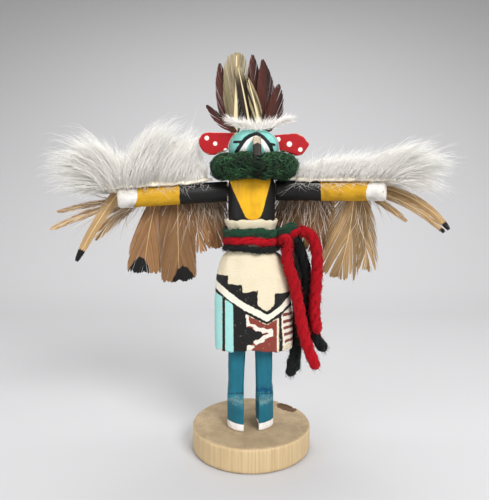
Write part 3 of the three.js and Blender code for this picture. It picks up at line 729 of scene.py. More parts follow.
cheek_half = CHEEK_HALF + CHEEK_FLARE * np.clip(CHEEK_TOP - heights, 0, CHEEK_FLARE_END)
brow = np.minimum(line_distance(front, BROW) - BROW_HALF, nearest_line(front, EYES) - EYE_HALF)
remember(figure, "black_body", np.maximum(SHIRT_Z - heights, heights - NECK_Z))
remember(figure, "face", FACE_Z - heights)
remember(figure, "bib", front_only(shape_distance(front, BIB), spots, -1.0))
remember(figure, "cheeks", front_only(nearest_line(front, CHEEKS) - cheek_half, spots, -2.0))
remember(figure, "brow", front_only(brow, spots, -1.5))
remember(figure, "sole", heights - SOLE_Z)
# Thin dark line round each ankle: painted shade of a groove the solid doesn't have, with some pooled paint in
# it.
remember(figure, "crease_shade_and_pooled_paint", front_band(BOOT_CREASE_Z, 0.25))
# Paler grey-blue band over the sloped top of each boot: painted highlight where the top faces up, with grey
# dust on it.
remember(figure, "instep_highlight_and_dust", front_band(INSTEP_Z, 1.3, -3.6))
remember(figure, "crumbs", front_band(INSTEP_Z, 0.5))
remember(figure, "splinters", np.where(spots[:, 0] > 0, front_band(SPLINTERS_Z, 0.9), FAR_OUTSIDE))
figure_paint = painted("figure_paint", srgb(28, 106, 126), [
    ("instep_highlight_and_dust", srgb(62, 116, 128), 4.0), ("crumbs", srgb(92, 134, 140), 7.0),
    ("splinters", srgb(10, 78, 112), 5.0), ("crease_shade_and_pooled_paint", srgb(8, 56, 72), 1.0), ("sole", srgb(252, 250, 247)),
    ("black_body", srgb(26, 25, 25)), ("bib", srgb(236, 178, 30)), ("face", srgb(132, 203, 195)),
    ("cheeks", srgb(240, 240, 236)), ("brow", srgb(16, 22, 24))], UPRIGHT, 0.6, 0.35, worn=0.12)
finished(figure, figure_paint, "painted_wood", "figure")

# %% Arms
SIDES = {"left": -1, "right": 1}
ARM_ROOT, ARM_SWEEP = 9.3, math.radians(15)
ARM_HEIGHT = {-1: (101.5, 99.0), 1: (101.7, 101.6)}
ARM_LENGTH, ARM_RADIUS, ARM_MIDDLE_Z = 40.6, 3.85, 100.5
YELLOW_FROM, CUFF_FROM = {-1: 18.6, 1: 17.6}, 33.6


def out_along(places, sign):
    """How far out along its arm each point is, in millimetres."""
    across = sign * places[:, 0] / MM - ARM_ROOT
    return across * math.cos(ARM_SWEEP) - places[:, 1] / MM * math.sin(ARM_SWEEP)


for side_name, sign in SIDES.items():
    arm = worked_copy(f"{side_name}_arm_wood", f"{side_name}_arm", 0.4, 1, 0.08)
    places = places_of(arm)
    out = out_along(places, sign)
    off_middle = places[:, 2] / MM - ARM_MIDDLE_Z
    remember(arm, "yellow", YELLOW_FROM[sign] - out - 0.03 * off_middle ** 2)
    remember(arm, "cuff", CUFF_FROM - out + 0.06 * off_middle ** 2)
    layers = [("yellow", srgb(202, 154, 30)), ("cuff", srgb(228, 225, 220))]
    arm_paint = painted(f"{side_name}_arm_paint", srgb(24, 23, 23), layers, OUTWARD, 0.6, 0.9, 0.3, 0.6)
    finished(arm, arm_paint, "painted_wood", f"{side_name}_arm")

# %% Ears
EAR_DOTS = {
    "left": [(-16.6, 121.0, 0.85), (-13.5, 119.0, 0.78), (-9.7, 116.6, 0.7)],
    "right": [(9.9, 120.5, 0.9), (14.1, 118.8, 0.98), (18.2, 116.8, 0.82)],
}
for side_name, dots in EAR_DOTS.items():
    ear = worked_copy(f"{side_name}_ear_wood", f"{side_name}_ear", 0.28, 2, 0.04)
    spots, normals = places_of(ear) / MM, normals_of(ear)
    remember(ear, "cut_rim", np.abs(normals[:, 1]) * 2.0 - 1.2 + np.where(normals[:, 2] > 0.3, 0, 1.0))
    dotted = np.min([np.hypot(spots[:, 0] - x, spots[:, 2] - z) - r for x, z, r in dots], axis=0)
    remember(ear, "dots", front_only(dotted, spots, -1.6))
    layers = [("cut_rim", srgb(222, 150, 146)), ("dots", srgb(246, 240, 232))]
    ear_paint = painted(f"{side_name}_ear_paint", srgb(172, 20, 29), layers, EVEN, 0.3, 0.12)
    finished(ear, ear_paint, "painted_wood", f"{side_name}_ear")

# %% Beak
BEAK_X, BEAK_DARK_Z = 1.9, 118.4
beak = worked_copy("beak_wood", "beak", 0.25, 3, 0.06)
spots = places_of(beak) / MM
remember(beak, "dark_end", spots[:, 2] - BEAK_DARK_Z + 0.5 * np.abs(spots[:, 0] - BEAK_X))
layers = [("dark_end", srgb(44, 38, 33))]
beak_paint = painted("beak_stain", srgb(176, 160, 138), layers, EVEN, 0.6, 0.6, worn=0.1)
finished(beak, beak_paint, "beak_wood", "beak")

# %% [markdown]
# ## Branch slice
# The base is a sawn disc of pale wood. Its top shows dull end grain in rings round the pith; its wall is
# split clean and shows upright streaks. One material does both: the rings follow the distance from the pith,
# the streaks are noise drawn out along Z, and a stored field says which of the two a point belongs to. A
# pocket of dark bark was left in the back rim: the solid has the hollow, and a lumpy plug of bark fills it.

# %% Base
PITH, POCKET, POCKET_TURN = (-2.0, 3.0), (15.4, 12.6), -0.9
POCKET_LONG, POCKET_DEEP, POCKET_FLOOR_Z = 5.2, 3.2, 6.0
CRACK, CRACK_HALF, CRACK_FLOOR_Z = [(23.6, -4.2), (20.6, -5.6), (17.4, -6.2)], 0.16, 7.5
base = worked_copy("branch_slice", "base", 0.6, 3, 0.06)
spots, normals = places_of(base) / MM, normals_of(base)
remember(base, "end_grain", np.clip(np.abs(normals[:, 2]) * 4 - 2.2, 0, 1))
wobble = np.array([noise.noise(Vector(p) * 0.09) for p in spots])
remember(base, "from_pith", np.hypot(spots[:, 0] - PITH[0], spots[:, 1] - PITH[1]) + 1.6 * wobble)
from_pocket = spots[:, :2] - POCKET
long_way = from_pocket @ (math.cos(POCKET_TURN), math.sin(POCKET_TURN))
deep_way = from_pocket @ (-math.sin(POCKET_TURN), math.cos(POCKET_TURN))
bark = (np.hypot(long_way / POCKET_LONG, deep_way / POCKET_DEEP) - 1) * 2.6
remember(base, "bark", np.maximum(bark, POCKET_FLOOR_Z - spots[:, 2]))
crack = line_distance(spots[:, :2], CRACK) - CRACK_HALF
remember(base, "crack", np.maximum(crack, CRACK_FLOOR_Z - spots[:, 2]))
print("base of", len(spots), "points, rings out to", round(float(np.hypot(*spots[:, :2].T).max()), 1), "mm")

# %% Base finish
# One dark brown serves as the colour of the bark and as painted shade in the crack.
BARK_COLOUR_AND_CRACK_SHADE = srgb(92, 66, 44)
base_wood, tree, bsdf = finish_of("branch_wood", 0.62)
rings = maths(tree, "SINE", scaled(tree, stored(tree, "from_pith"), 4.6))
ring_share = maths(tree, "ADD", scaled(tree, rings, 0.035), grained(tree, 260, 8))
top = blend(tree, ring_share, srgb(134, 114, 86), srgb(192, 170, 138))
streak = grained(tree, 2000, 4, (1, 1, 0.015))
broad = grained(tree, 90, 3, (1, 1, 0.1))
wall_share = maths(tree, "ADD", scaled(tree, streak, 0.8), scaled(tree, broad, 0.2))
wall = blend(tree, ramped(tree, wall_share, 0.3, 0.7), srgb(188, 160, 118), srgb(214, 191, 152))
wood = blend(tree, stored(tree, "end_grain"), wall, top)
wood = paint_over(tree, wood, "bark", BARK_COLOUR_AND_CRACK_SHADE, 2.2)
# Dark line along the crack in the top: painted shade in the split.
wood = paint_over(tree, wood, "crack", BARK_COLOUR_AND_CRACK_SHADE, 0.3)
tree.links.new(wood, bsdf.inputs["Base Color"])
tree.links.new(maths(tree, "ADD", scaled(tree, streak, 0.25), 0.5), bsdf.inputs["Roughness"])
raise_by(tree, bsdf, maths(tree, "ADD", streak, scaled(tree, rings, 0.15)), 0.4, 0.0003)
finished(base, base_wood, "base_wood", "base")

# %% Bark in the pocket
BARK_HALF, BARK_PLACE, BARK_TURN = (4.7, 1.7, 1.3), (15.2, 15.0, 8.45), 0.72
bpy.ops.object.select_all(action="DESELECT")
bpy.ops.mesh.primitive_uv_sphere_add(segments=40, ring_count=20, radius=MM)
bark_plug = bpy.context.active_object
bark_plug.name = "bark_plug"
lump = places_of(bark_plug) / MM * BARK_HALF
lump *= 1 + 0.12 * np.array([noise.noise(Vector(p) * 0.9) for p in lump])[:, None]
along_rim = lump[:, 0] * math.cos(BARK_TURN) + lump[:, 1] * math.sin(BARK_TURN)
into_wood = lump[:, 1] * math.cos(BARK_TURN) - lump[:, 0] * math.sin(BARK_TURN)
move_points(bark_plug, (np.stack([along_rim, into_wood, lump[:, 2]], 1) + BARK_PLACE) * MM)
bpy.ops.object.shade_smooth()
bark_finish = mottled("bark", srgb(52, 36, 24), srgb(112, 84, 58), 700, (900, 5), 0.6, 0.0005, (0.9,))
finished(bark_plug, bark_finish, "base_wood", "base")

# %% [markdown]
# ## Kilt
# A strip of thick cream felt is wrapped round the waist and painted with a stepped pattern: black terraces,
# a white band that dips to a point, turquoise and dark stripes, a white zigzag round a dark pyramid, and a
# barred end panel. The sheet is drawn as a grid round the body and given its thickness afterwards. Each
# colour of the pattern is a few flat shapes, stored as distances and painted one over the other.

# %% Felt sheet
# height, middle, half width, half depth, squareness of the section
KILT_ROWS = np.array([
    (90.6, -0.1, 10.1, 8.9, 2.8), (89.0, 0, 9.6, 8.5, 2.8), (87.6, 0.1, 8.95, 8.0, 2.7),
    (78.6, 0.2, 9.0, 8.1, 2.7), (77.2, 0.2, 11.0, 9.1, 2.7), (74.4, 0.4, 12.6, 9.4, 2.75),
    (69.4, 0.6, 14.1, 9.8, 2.8), (59.7, 0.5, 14.9, 10.2, 3.0), (48, 0.8, 15.3, 10.3, 3.1),
    (41.6, 0.8, 15.1, 10.2, 3.2)])
KILT_TOP_Z, KILT_WAIST_Z, KILT_HEM_Z = 90.6, 77, 41.6
KILT_EDGE, KILT_OPENING = math.radians(28), math.radians(1.4)
LOOSE_BELOW_Z, LOOSE_RUN = 78, 30
HEM_BELOW_Z, HEM_RUN, RIM_ABOVE_Z, RIM_RUN = 45, 3.4, 88, 2.6
angles = np.concatenate([
    np.linspace(KILT_EDGE + KILT_OPENING, math.radians(172), 34),
    np.linspace(math.radians(175), math.radians(365), 124),
    np.linspace(math.radians(367), KILT_EDGE + 2 * math.pi - KILT_OPENING, 12)])
levels = np.concatenate([
    np.linspace(KILT_TOP_Z, KILT_WAIST_Z, 18), np.linspace(KILT_WAIST_Z - 0.6, KILT_HEM_Z, 64)])


def felt_row(z):
    """One level of the felt: an oval that ripples below the sash and has an uneven hem and upper edge."""
    cx, half_x, half_y, power = (np.interp(-z, -KILT_ROWS[:, 0], KILT_ROWS[:, k]) for k in (1, 2, 3, 4))
    ring = oval_ring(cx, half_x, half_y, power, z, angles)
    loose = np.clip((LOOSE_BELOW_Z - z) / LOOSE_RUN, 0, 1)
    ripple = 0.3 * loose * np.sin(angles * 5 + 0.03 * z) + 0.12 * np.sin(angles * 11 + 0.11 * z)
    ring = ring + unit(ring * (1, 1, 0)) * (ripple * MM)[:, None]
    hem = 0.25 * np.sin(angles * 7) + 0.18 * np.sin(angles * 23)
    rim = 0.3 * np.sin(angles * 4 + 1) + 0.2 * np.sin(angles * 13)
    hem = np.clip((HEM_BELOW_Z - z) / HEM_RUN, 0, 1) * hem
    rim = np.clip((z - RIM_ABOVE_Z) / RIM_RUN, 0, 1) * rim
    ring[:, 2] += (hem + rim) * MM
    return ring


def grid_quads(high, wide):
    corner = (np.arange(high - 1)[:, None] * wide + np.arange(wide - 1)[None]).ravel()
    return np.stack([corner, corner + wide, corner + wide + 1, corner + 1], 1)


def halved(quads):
    return np.concatenate([quads[:, [0, 1, 2]], quads[:, [0, 2, 3]]])


grid = np.array([felt_row(z) for z in levels])
kilt = mesh_piece("felt_kilt", grid.reshape(-1, 3), halved(grid_quads(*grid.shape[:2])))

# %% Pattern on the felt
spots = places_of(kilt) / MM
front = spots[:, [0, 2]]
BAR_HALF, PATTERN_BACK_Y = 0.58, 2.5


def box_of(x0, x1, z0, z1):
    return [(x0, z0), (x1, z0), (x1, z1), (x0, z1)]


PATTERN = {
    "ground": [
        [(-17, 70.3), (-8.7, 70.3), (-8.7, 67.0), (-3.4, 67.0), (-3.3, 63.9), (2.3, 65.0), (2.2, 59.6),
         (4.3, 57.9), (5.8, 57.0), (7.2, 58.1), (8.6, 59.8), (8.7, 63.7), (17, 63.7), (17, 58.2),
         (14.6, 57.8), (11.2, 55.3), (8.9, 53.9), (5.8, 52.1), (1.3, 54.3), (-2.4, 56.4), (-8.0, 59.7),
         (-13.5, 63.5), (-17, 65.4)],
        box_of(-6.9, -1.8, 40, 60),
        box_of(-11.0, -9.8, 40, 64),
        [(10.2, 57), (11.5, 57), (11.3, 51), (12, 44), (11.2, 40), (10.4, 40)]],
    "blue": [
        [(-14.8, 43), (-13.4, 41), (-11.0, 42.6), (-10.9, 62.2), (-17, 65.0), (-17, 44)],
        [(-9.8, 40), (-6.7, 40), (-6.9, 59.6), (-9.8, 61.4)]],
    "maroon": [
        [(-1.4, 40), (9.6, 40), (9.6, 54.3), (8.6, 53.7), (5.8, 52.0), (1.3, 54.2), (-1.4, 55.6)]],
    "pyramid": [
        [(-2.4, 51.4), (0.2, 51.0), (0.6, 49.6), (3.4, 49.6), (4.2, 48.5), (6.9, 49.2), (6.0, 48.4),
         (4.1, 47.7), (3.1, 46.4), (0.8, 46.0), (0.3, 44.2), (-1.6, 44.0), (-1.8, 41), (-2.6, 41)]],
    "zigzag": [
        [(-2.2, 56.3), (-1.1, 55.4), (-0.9, 53.2), (-0.4, 52.5), (1.3, 52.4), (2.0, 51.1), (4.3, 50.9),
         (5.8, 50.4), (6.9, 50.6), (7.7, 50.7), (8.1, 49.6), (8.1, 47.7), (6.5, 47.2), (5.0, 46.6),
         (5.1, 45.6), (3.9, 45.3), (2.0, 44.6), (1.4, 43.5), (0, 42.5), (1.2, 41.2), (-1.8, 40.4),
         (-1.6, 44.1), (0.4, 44.3), (0.8, 46.1), (3.2, 46.7), (4.2, 47.9), (6.1, 48.4), (7.0, 49.3),
         (5.4, 49.0), (4.5, 48.6), (3.9, 48.8), (3.4, 49.7), (0.6, 49.7), (0.1, 51.4), (-1.8, 51.5)]],
    "white": [
        [(-17, 70.0), (-13.3, 68.0), (-4.3, 61.3), (-0.6, 59.2), (3.9, 56.9), (5.8, 55.8), (7.2, 56.4),
         (10.6, 58.9), (12.8, 60.8), (14.3, 62.1), (17, 63.4), (17, 60.8), (14.7, 59.6), (12.4, 57.5),
         (8.7, 55.0), (5.9, 53.2), (1.3, 55.6), (-2.4, 57.3), (-8.0, 60.9), (-13.4, 65.0), (-17, 66.8)],
        [(9.6, 42.6), (10.2, 42.4), (9.8, 48), (9.9, 54), (9.5, 54.2), (9.5, 48)],
        [(11.2, 55.1), (12.1, 56.2), (14.8, 57.9), (17, 58.6), (17, 43.4), (14.3, 43.8), (12.4, 43.4),
         (11.1, 44.1), (12, 44.6), (11.9, 48), (11.4, 52)]],
    "bars": [
        box_of(left, 17, z - BAR_HALF, z + BAR_HALF)
        for left, z in ((11.6, 55.3), (11.8, 52.7), (12.0, 50.3), (12.3, 47.8), (12.6, 45.1))],
}
for field, shapes in PATTERN.items():
    distance = np.min([shape_distance(front, shape) for shape in shapes], axis=0)
    remember(kilt, field, front_only(distance, spots, PATTERN_BACK_Y))
print("pattern:", list(PATTERN))

# %% Felt finish
PATTERN_COLOURS = {
    "ground": srgb(26, 25, 25), "blue": srgb(158, 216, 212), "maroon": srgb(132, 60, 50),
    "pyramid": srgb(28, 27, 27), "zigzag": srgb(232, 227, 214), "white": srgb(235, 230, 214),
    "bars": srgb(120, 54, 46),
}
PATTERN_RAGGEDNESS = 0.85
felt, tree, bsdf = finish_of("painted_felt", 0.95, 0.12, 0.1)
colour = blend(tree, grained(tree, 110, 5), srgb(214, 200, 169), srgb(235, 225, 200))
for field, shade_of in PATTERN_COLOURS.items():
    colour = paint_over(tree, colour, field, shade_of, PATTERN_RAGGEDNESS)
fuzz = grained(tree, 2600, 6)
worn = blend(tree, scaled(tree, fuzz, 0.55), colour, (0.6, 0.57, 0.54, 1), "SOFT_LIGHT")
flecks = scaled(tree, ramped(tree, grained(tree, 1100, 4), 0.66, 0.74), 0.4)
tree.links.new(blend(tree, flecks, worn, srgb(226, 214, 196)), bsdf.inputs["Base Color"])
raise_by(tree, bsdf, fuzz, 0.7, 0.0006)
print("felt painted with", len(PATTERN_COLOURS), "colours")

# %% Thickness of the felt
FELT_THICK, KILT_FLAT = 0.9 * MM, (0.086, 0.049)


def thickened(piece, thickness):
    only(piece)
    wall = piece.modifiers.new("wall", "SOLIDIFY")
    wall.thickness = thickness
    wall.offset = -1
    bpy.ops.object.modifier_apply(modifier="wall")


thickened(kilt, FELT_THICK)
finished(kilt, felt, "kilt_felt", "kilt")

# %% [markdown]
# ## Ruff
# A ring of loosely spun wool sits round the neck. A bumpy ring gives its body, and several thousand wavy
# fibres that run round and over it give the woolly surface and the uneven outline. Their colours hold painted
# shade deep in the wool, painted highlight on the fibre tips and a painted shadow of the beak.

# %% Body of the ruff
RUFF = {"x": 1.2, "y": 0.2, "z": 110.5, "ring": 12.2, "tube": 4.4, "core": 3.7, "squash": 0.96}
RUFF_STEPS, RUFF_SIDES = 120, 20
DIP_HALF, DIP_DEPTH, DIP_FROM_Z, DIP_RISE, RUFF_FRONT_Y = 1.9, 1.5, 109.4, 4, -9


def on_ruff(angle, turn, tube_size):
    """Point on the ring; it dips in front, where the beak presses into the wool."""
    lumps = 1 + 0.07 * np.sin(angle * 7 + turn) + 0.05 * np.sin(angle * 17 + 2 * turn + 1)
    size = tube_size * lumps
    reach = RUFF["ring"] + size * np.cos(turn)
    x = RUFF["x"] + reach * np.cos(angle)
    y = RUFF["y"] + RUFF["squash"] * reach * np.sin(angle)
    z = RUFF["z"] + size * np.sin(turn)
    dip = np.exp(-((x - BEAK_X) / DIP_HALF) ** 4) * (y < RUFF_FRONT_Y)
    dip = dip * np.clip((z - DIP_FROM_Z) / DIP_RISE, 0, 1)
    return np.stack([x, y, z - DIP_DEPTH * dip], -1) * MM


round_neck = np.linspace(0, 2 * math.pi, RUFF_STEPS, endpoint=False)
round_tube = np.linspace(0, 2 * math.pi, RUFF_SIDES, endpoint=False)
centre = on_ruff(round_neck, np.zeros(RUFF_STEPS), 0.0)
# The body gets tone 0.02, which makes it nearly black: painted shade deep in the wool between the fibres.
core = tube(centre, np.zeros_like(centre), np.zeros_like(centre), 1, 1, RUFF_SIDES, True, 0.02)
core["points"] = on_ruff(round_neck[:, None], round_tube[None], RUFF["core"]).reshape(-1, 3)
print("ruff body of", len(core["points"]), "points")

# %% Wool fibres of the ruff
RUFF_FIBRES = 2900
dice = np.random.default_rng(5)


def any_fibre(low, high):
    return dice.uniform(low, high, RUFF_FIBRES)[:, None]


angle, turn = any_fibre(0, 2 * math.pi), any_fibre(-2.5, 2.7)
steps = np.linspace(0, 1, 7)[None]
slant = dice.choice([-1, 1], RUFF_FIBRES)[:, None] * any_fibre(0.04, 0.3)
climb = any_fibre(-0.9, 0.9)
phase, waves = any_fibre(0, 6), any_fibre(5, 12)
loop = any_fibre(0.02, 0.08)
stand = any_fibre(0.84, 1.0) + np.sin(steps * math.pi) * any_fibre(0.0, 0.16)
stand = stand + steps ** 3 * any_fibre(-0.03, 0.2)
round_way = angle + slant * steps + loop * np.sin(steps * waves + phase)
over_way = turn + climb * steps + 2.6 * loop * np.cos(steps * waves + phase)
lines = on_ruff(round_way, over_way, RUFF["tube"] * stand)
thick = any_fibre(0.06, 0.15) * np.array([0.9, 1, 1, 1, 0.9, 0.7, 0])[None] * MM
middle_x, middle_y = lines[:, 3, 0] / MM, lines[:, 3, 1] / MM
# Fibres in front below the beak are made darker: painted shadow of the beak on the wool.
beak_shadow = np.exp(-((middle_x - BEAK_X) / 2.0) ** 4) * (middle_y < RUFF_FRONT_Y)
hairs = strands(lines, thick, dice.beta(1.1, 1.9, RUFF_FIBRES) * (1 - 0.9 * beak_shadow))
# Dark roots and light tips: painted shade deep in the wool and painted highlight on the tips of the fibres.
ruff_wool = fibres("ruff_wool", srgb(14, 56, 28), srgb(66, 122, 74), 1.9, 0.9, 0.1)
finished(mesh_piece("wool_ruff", **gather([core, hairs])), ruff_wool, "ruff_wool", "ruff")

# %% [markdown]
# ## Fur
# A strip of thin hide lies along the top of each arm with long white fur on it. Guide hairs, each a root and
# a tip in the plane of the wing, say how the fur lies: on one side it parts, half sweeping up towards the
# head and half out past the hand; on the other it all sweeps outwards. Between the guides thousands of hairs
# are placed in small locks, over a soft mass of underfur that fills the fur and keeps it from looking thin.

# %% Wing places
def wing_point(sign, u, n, w):
    """Point in metres from millimetres out along an arm, behind it, and height."""
    x = sign * (ARM_ROOT + u * math.cos(ARM_SWEEP) + n * math.sin(ARM_SWEEP))
    y = -u * math.sin(ARM_SWEEP) + n * math.cos(ARM_SWEEP)
    return np.stack(np.broadcast_arrays(x, y, w), -1) * MM


def arm_axis(sign, u):
    root, tip = ARM_HEIGHT[sign]
    return root + (tip - root) * np.clip(u / ARM_LENGTH, 0, 1.15)


def round_arm(sign, u, lean, radius):
    """Point at a distance from the arm's axis, leaning back from straight above it."""
    return wing_point(sign, u, radius * np.sin(lean), arm_axis(sign, u) + radius * np.cos(lean))


hands = [wing_point(sign, ARM_LENGTH, 0, ARM_HEIGHT[sign][1]) for sign in SIDES.values()]
print("hands at", [[round(float(v) * 1000, 1) for v in hand] for hand in hands], "mm")

# %% Hide strips
HIDE_FROM, HIDE_TO, HIDE_THICK, HIDE_OFF_ARM = {-1: 6.0, 1: 2.6}, 43.5, 0.55 * MM, 0.85
HIDE_STEPS, HIDE_ACROSS, HIDE_NARROW_RUN, HIDE_BACK_LEAN = 80, 22, 9, np.radians(66)
hide_finish = mottled("hide", srgb(214, 198, 170), srgb(244, 236, 220), 300, (1500, 4), 0.4, 0.0003,
                      (0.85, 0.1, 0.15))
for side_name, sign in SIDES.items():
    u = np.linspace(HIDE_FROM[sign], HIDE_TO, HIDE_STEPS)[:, None]
    narrow = np.clip((u - HIDE_FROM[sign]) / HIDE_NARROW_RUN, 0.12, 1)
    ragged = np.array([noise.noise(Vector((k, 3.0 * sign, 0))) for k in u[:, 0] * 0.35])[:, None]
    front_lean = np.radians(-26 - 20 * narrow - 9 * ragged)
    lean = front_lean + (HIDE_BACK_LEAN * narrow - front_lean) * np.linspace(0, 1, HIDE_ACROSS)[None]
    grid = round_arm(sign, u, lean, ARM_RADIUS + HIDE_OFF_ARM + 0.1 * ragged)
    quads = grid_quads(*grid.shape[:2])[:, ::-sign]
    hide = mesh_piece(f"{side_name}_hide", grid.reshape(-1, 3), halved(quads))
    thickened(hide, HIDE_THICK)
    finished(hide, hide_finish, "fur", f"{side_name}_fur")

# %% Underfur
UNDERFUR_INSET, UNDERFUR_SHARE = 1.4, {-1: 0.7, 1: 0.78}
SPINE_FROM, SPINE_TO, SPINE_BEHIND = 14, 44, 1.2
PAST_HAND_Z, PAST_HAND_RISE, NO_LIMIT = 103, 0.4, -1
underfur = mottled("underfur", srgb(206, 200, 189), srgb(242, 237, 227), 500, (900, 5), 0.8, 0.001,
                   (0.8, 0.4, 0.1))


def fill_with_underfur(side_name, sign):
    """Soft mass inside the fur: the fur's solid, drawn in towards a spine along the arm."""
    under = worked_copy(f"{side_name}_underfur", f"{side_name}_fur", 0.8, 12, 0.5)
    inset = places_of(under) - normals_of(under) * UNDERFUR_INSET * MM
    spine = np.clip(out_along(inset, sign), SPINE_FROM, SPINE_TO)
    spine = wing_point(sign, spine, SPINE_BEHIND, arm_axis(sign, spine) + ARM_RADIUS)
    inset = spine + (inset - spine) * UNDERFUR_SHARE[sign]
    past_hand = out_along(inset, sign) - ARM_LENGTH
    lowest = np.where(past_hand > 0, (PAST_HAND_Z + PAST_HAND_RISE * past_hand) * MM, NO_LIMIT)
    inset[:, 2] = np.maximum(inset[:, 2], lowest)
    move_points(under, inset)
    return finished(under, underfur, "fur", f"{side_name}_fur")

# %% Fur guides
# root along the arm, tip along it and height, and how much the hair arches
FUR_GUIDES = {
    -1: [(9.5, 7.6, 112, 0.05), (13, 7.8, 117, 0.08), (18, 8.4, 121.5, 0.1), (23, 9.8, 125.2, 0.14),
         (28, 12, 128, 0.18), (32, 15.5, 129.5, 0.22), (35, 20, 128.8, 0.24), (36.5, 25.5, 126.2, 0.22),
         (37.2, 30.5, 122.0, 0.14), (37.6, 35.5, 116.6, 0.06), (38.4, 41, 117.4, 0.06),
         (39.5, 46.5, 121.2, 0.14), (40.5, 53, 122.6, 0.2), (41.5, 59.5, 120.4, 0.24),
         (42.2, 65.5, 116.4, 0.26), (43, 70, 111.5, 0.24), (43.5, 71, 106.5, 0.18), (44, 68, 102.0, 0.1),
         (44, 60, 99.6, 0.05), (43, 51, 99.0, 0.0)],
    1: [(9.0, 11, 112.4, 0.1), (10, 15, 113.6, 0.1), (13, 20, 114.8, 0.12), (17, 25, 115.6, 0.12),
        (22, 31, 116.4, 0.12), (26, 36, 116.2, 0.12), (31, 42, 116.0, 0.14), (35, 48, 117.6, 0.16),
        (38, 54, 119.0, 0.18), (40, 59, 118.2, 0.2), (42, 63.5, 114.6, 0.22), (43.5, 66.5, 109.5, 0.2),
        (44.5, 67, 104, 0.15), (44.5, 65, 99.2, 0.08), (44, 57, 99.8, 0.04), (43, 50, 101.4, 0.0)],
}
print("guide hairs:", {name: len(FUR_GUIDES[sign]) for name, sign in SIDES.items()})

# %% Lie of the hairs
FUR_FROM, FUR_TO, FUR_FRONT, FUR_BACK = {-1: 7.6, 1: 8.2}, 45, -3.4, 5.2
SPARSE_GUIDES, SPARSE_SHARE, STRAY_SHARE = 5, 0.65, 0.06
CURLY_FROM, CURLY, STRAIGHT = 48, 0.06, 0.03
CLEAR_OF_EAR, EAR_CLEARANCE = 15, 0.75


def fur_lines(sign, locks, hairs, seed):
    """Lines and tones of the fur on one arm, in locks of a few hairs."""
    dice = np.random.default_rng(seed)
    guides = np.array(FUR_GUIDES[sign])
    full = len(guides) - SPARSE_GUIDES
    spot = np.sort(dice.uniform(0, len(guides) - 1, locks))
    sparse = (spot > full) & (dice.random(locks) < SPARSE_SHARE)
    spot = np.where(sparse, dice.uniform(0, full, locks), spot)

    def guided(column):
        return np.interp(spot, np.arange(len(guides)), guides[:, column])

    lock_n = dice.uniform(FUR_FRONT, FUR_BACK, locks)
    lock_length = dice.uniform(0.4, 1.03, locks)
    lock_sway = dice.normal(0, 0.09, locks)
    of = np.repeat(np.arange(locks), hairs)
    total = len(of)
    root_u = guided(0)[of] + dice.normal(0, 1.8, locks)[of] + dice.normal(0, 1.2, total)
    root_u = np.clip(root_u, FUR_FROM[sign], FUR_TO)
    n = lock_n[of] + dice.normal(0, 0.9, total)
    root_w = arm_axis(sign, root_u) + 4.7 * np.sqrt(np.clip(1 - (n / 5.6) ** 2, 0.12, 1))
    stray = dice.random(total) < STRAY_SHARE
    share = lock_length[of] * dice.uniform(0.7, 1.04, total) + 0.1 * stray
    tip_u = root_u + (guided(1)[of] - root_u) * share + dice.normal(0, 0.9, total) * (1 + 2 * stray)
    tip_w = root_w + (guided(2)[of] - root_w) * share + dice.normal(0, 0.8, total) * (1 + 2 * stray)
    tip_n = 1.7 + (lock_n[of] - 1.4) * 0.75 + dice.normal(0, 0.8, total)
    if sign < 0:
        tip_n = tip_n + np.clip(CLEAR_OF_EAR - tip_u, 0, 8) * EAR_CLEARANCE
    root = wing_point(sign, root_u, n, root_w)
    tip = wing_point(sign, tip_u, tip_n, tip_w)
    span = np.linalg.norm(tip - root, axis=1, keepdims=True)
    arch = (guided(3) * dice.uniform(0.6, 1.25, locks))[of][:, None] * np.array([0, 0, 1.6])
    outward = lock_sway[of][:, None] * np.array([sign * math.cos(ARM_SWEEP), -math.sin(ARM_SWEEP), 0])
    bend = root + (tip - root) * 0.45 + span * (arch + outward + 0.045 * dice.normal(size=(total, 3)))
    t = np.array([0, 0.28, 0.55, 0.8, 1.0])[None, :, None]
    lines = (1 - t) ** 2 * root[:, None] + 2 * t * (1 - t) * bend[:, None] + t * t * tip[:, None]
    wave = np.sin(dice.uniform(0, 6.3, (total, 1, 1)) + t * dice.uniform(2, 6, (total, 1, 1))) * t
    curl = np.where(tip_u > CURLY_FROM, CURLY, STRAIGHT)[:, None, None]
    lines += wave * curl * dice.normal(0, 1, (total, 1, 3)) * span[:, None]
    lines[:, 1:4] += dice.normal(0, 0.12 * MM, (total, 3, 3))
    tone = np.clip(dice.normal(0.6, 0.12, locks)[of] + dice.normal(0, 0.1, total), 0, 1)
    return lines, tone


trial_lines, trial_tones = fur_lines(1, 5, 4, 0)
print("five trial locks have", len(trial_lines), "hairs with a mean tone of", trial_tones.mean().round(2))

# %% Fur hairs
FUR_LOCKS, HAIRS_IN_LOCK, LOOSE_HAIRS = {-1: 680, 1: 600}, 11, {-1: 30, 1: 60}
HAIR_WIDTHS, LOOSE_THINNER = [0.055, 0.065, 0.055, 0.035, 0.0], 0.5


def fallen_hairs(sign, count, seed):
    """Loose hairs that have fallen forward over the front of the arm."""
    dice = np.random.default_rng(seed)
    t = np.array([0, 0.3, 0.55, 0.8, 1.0])[None]
    u = dice.uniform(7, 30, count)[:, None] + t * dice.normal(0, 3.5, count)[:, None]
    u = u + t * t * dice.normal(0, 2.5, count)[:, None]
    turn = -50 - t * dice.uniform(15, 62, count)[:, None] + t * t * dice.normal(0, 12, count)[:, None]
    radius = ARM_RADIUS + 0.25 + t * (1 - t) * dice.uniform(0.4, 2.4, count)[:, None]
    return round_arm(sign, u, np.radians(turn), radius)


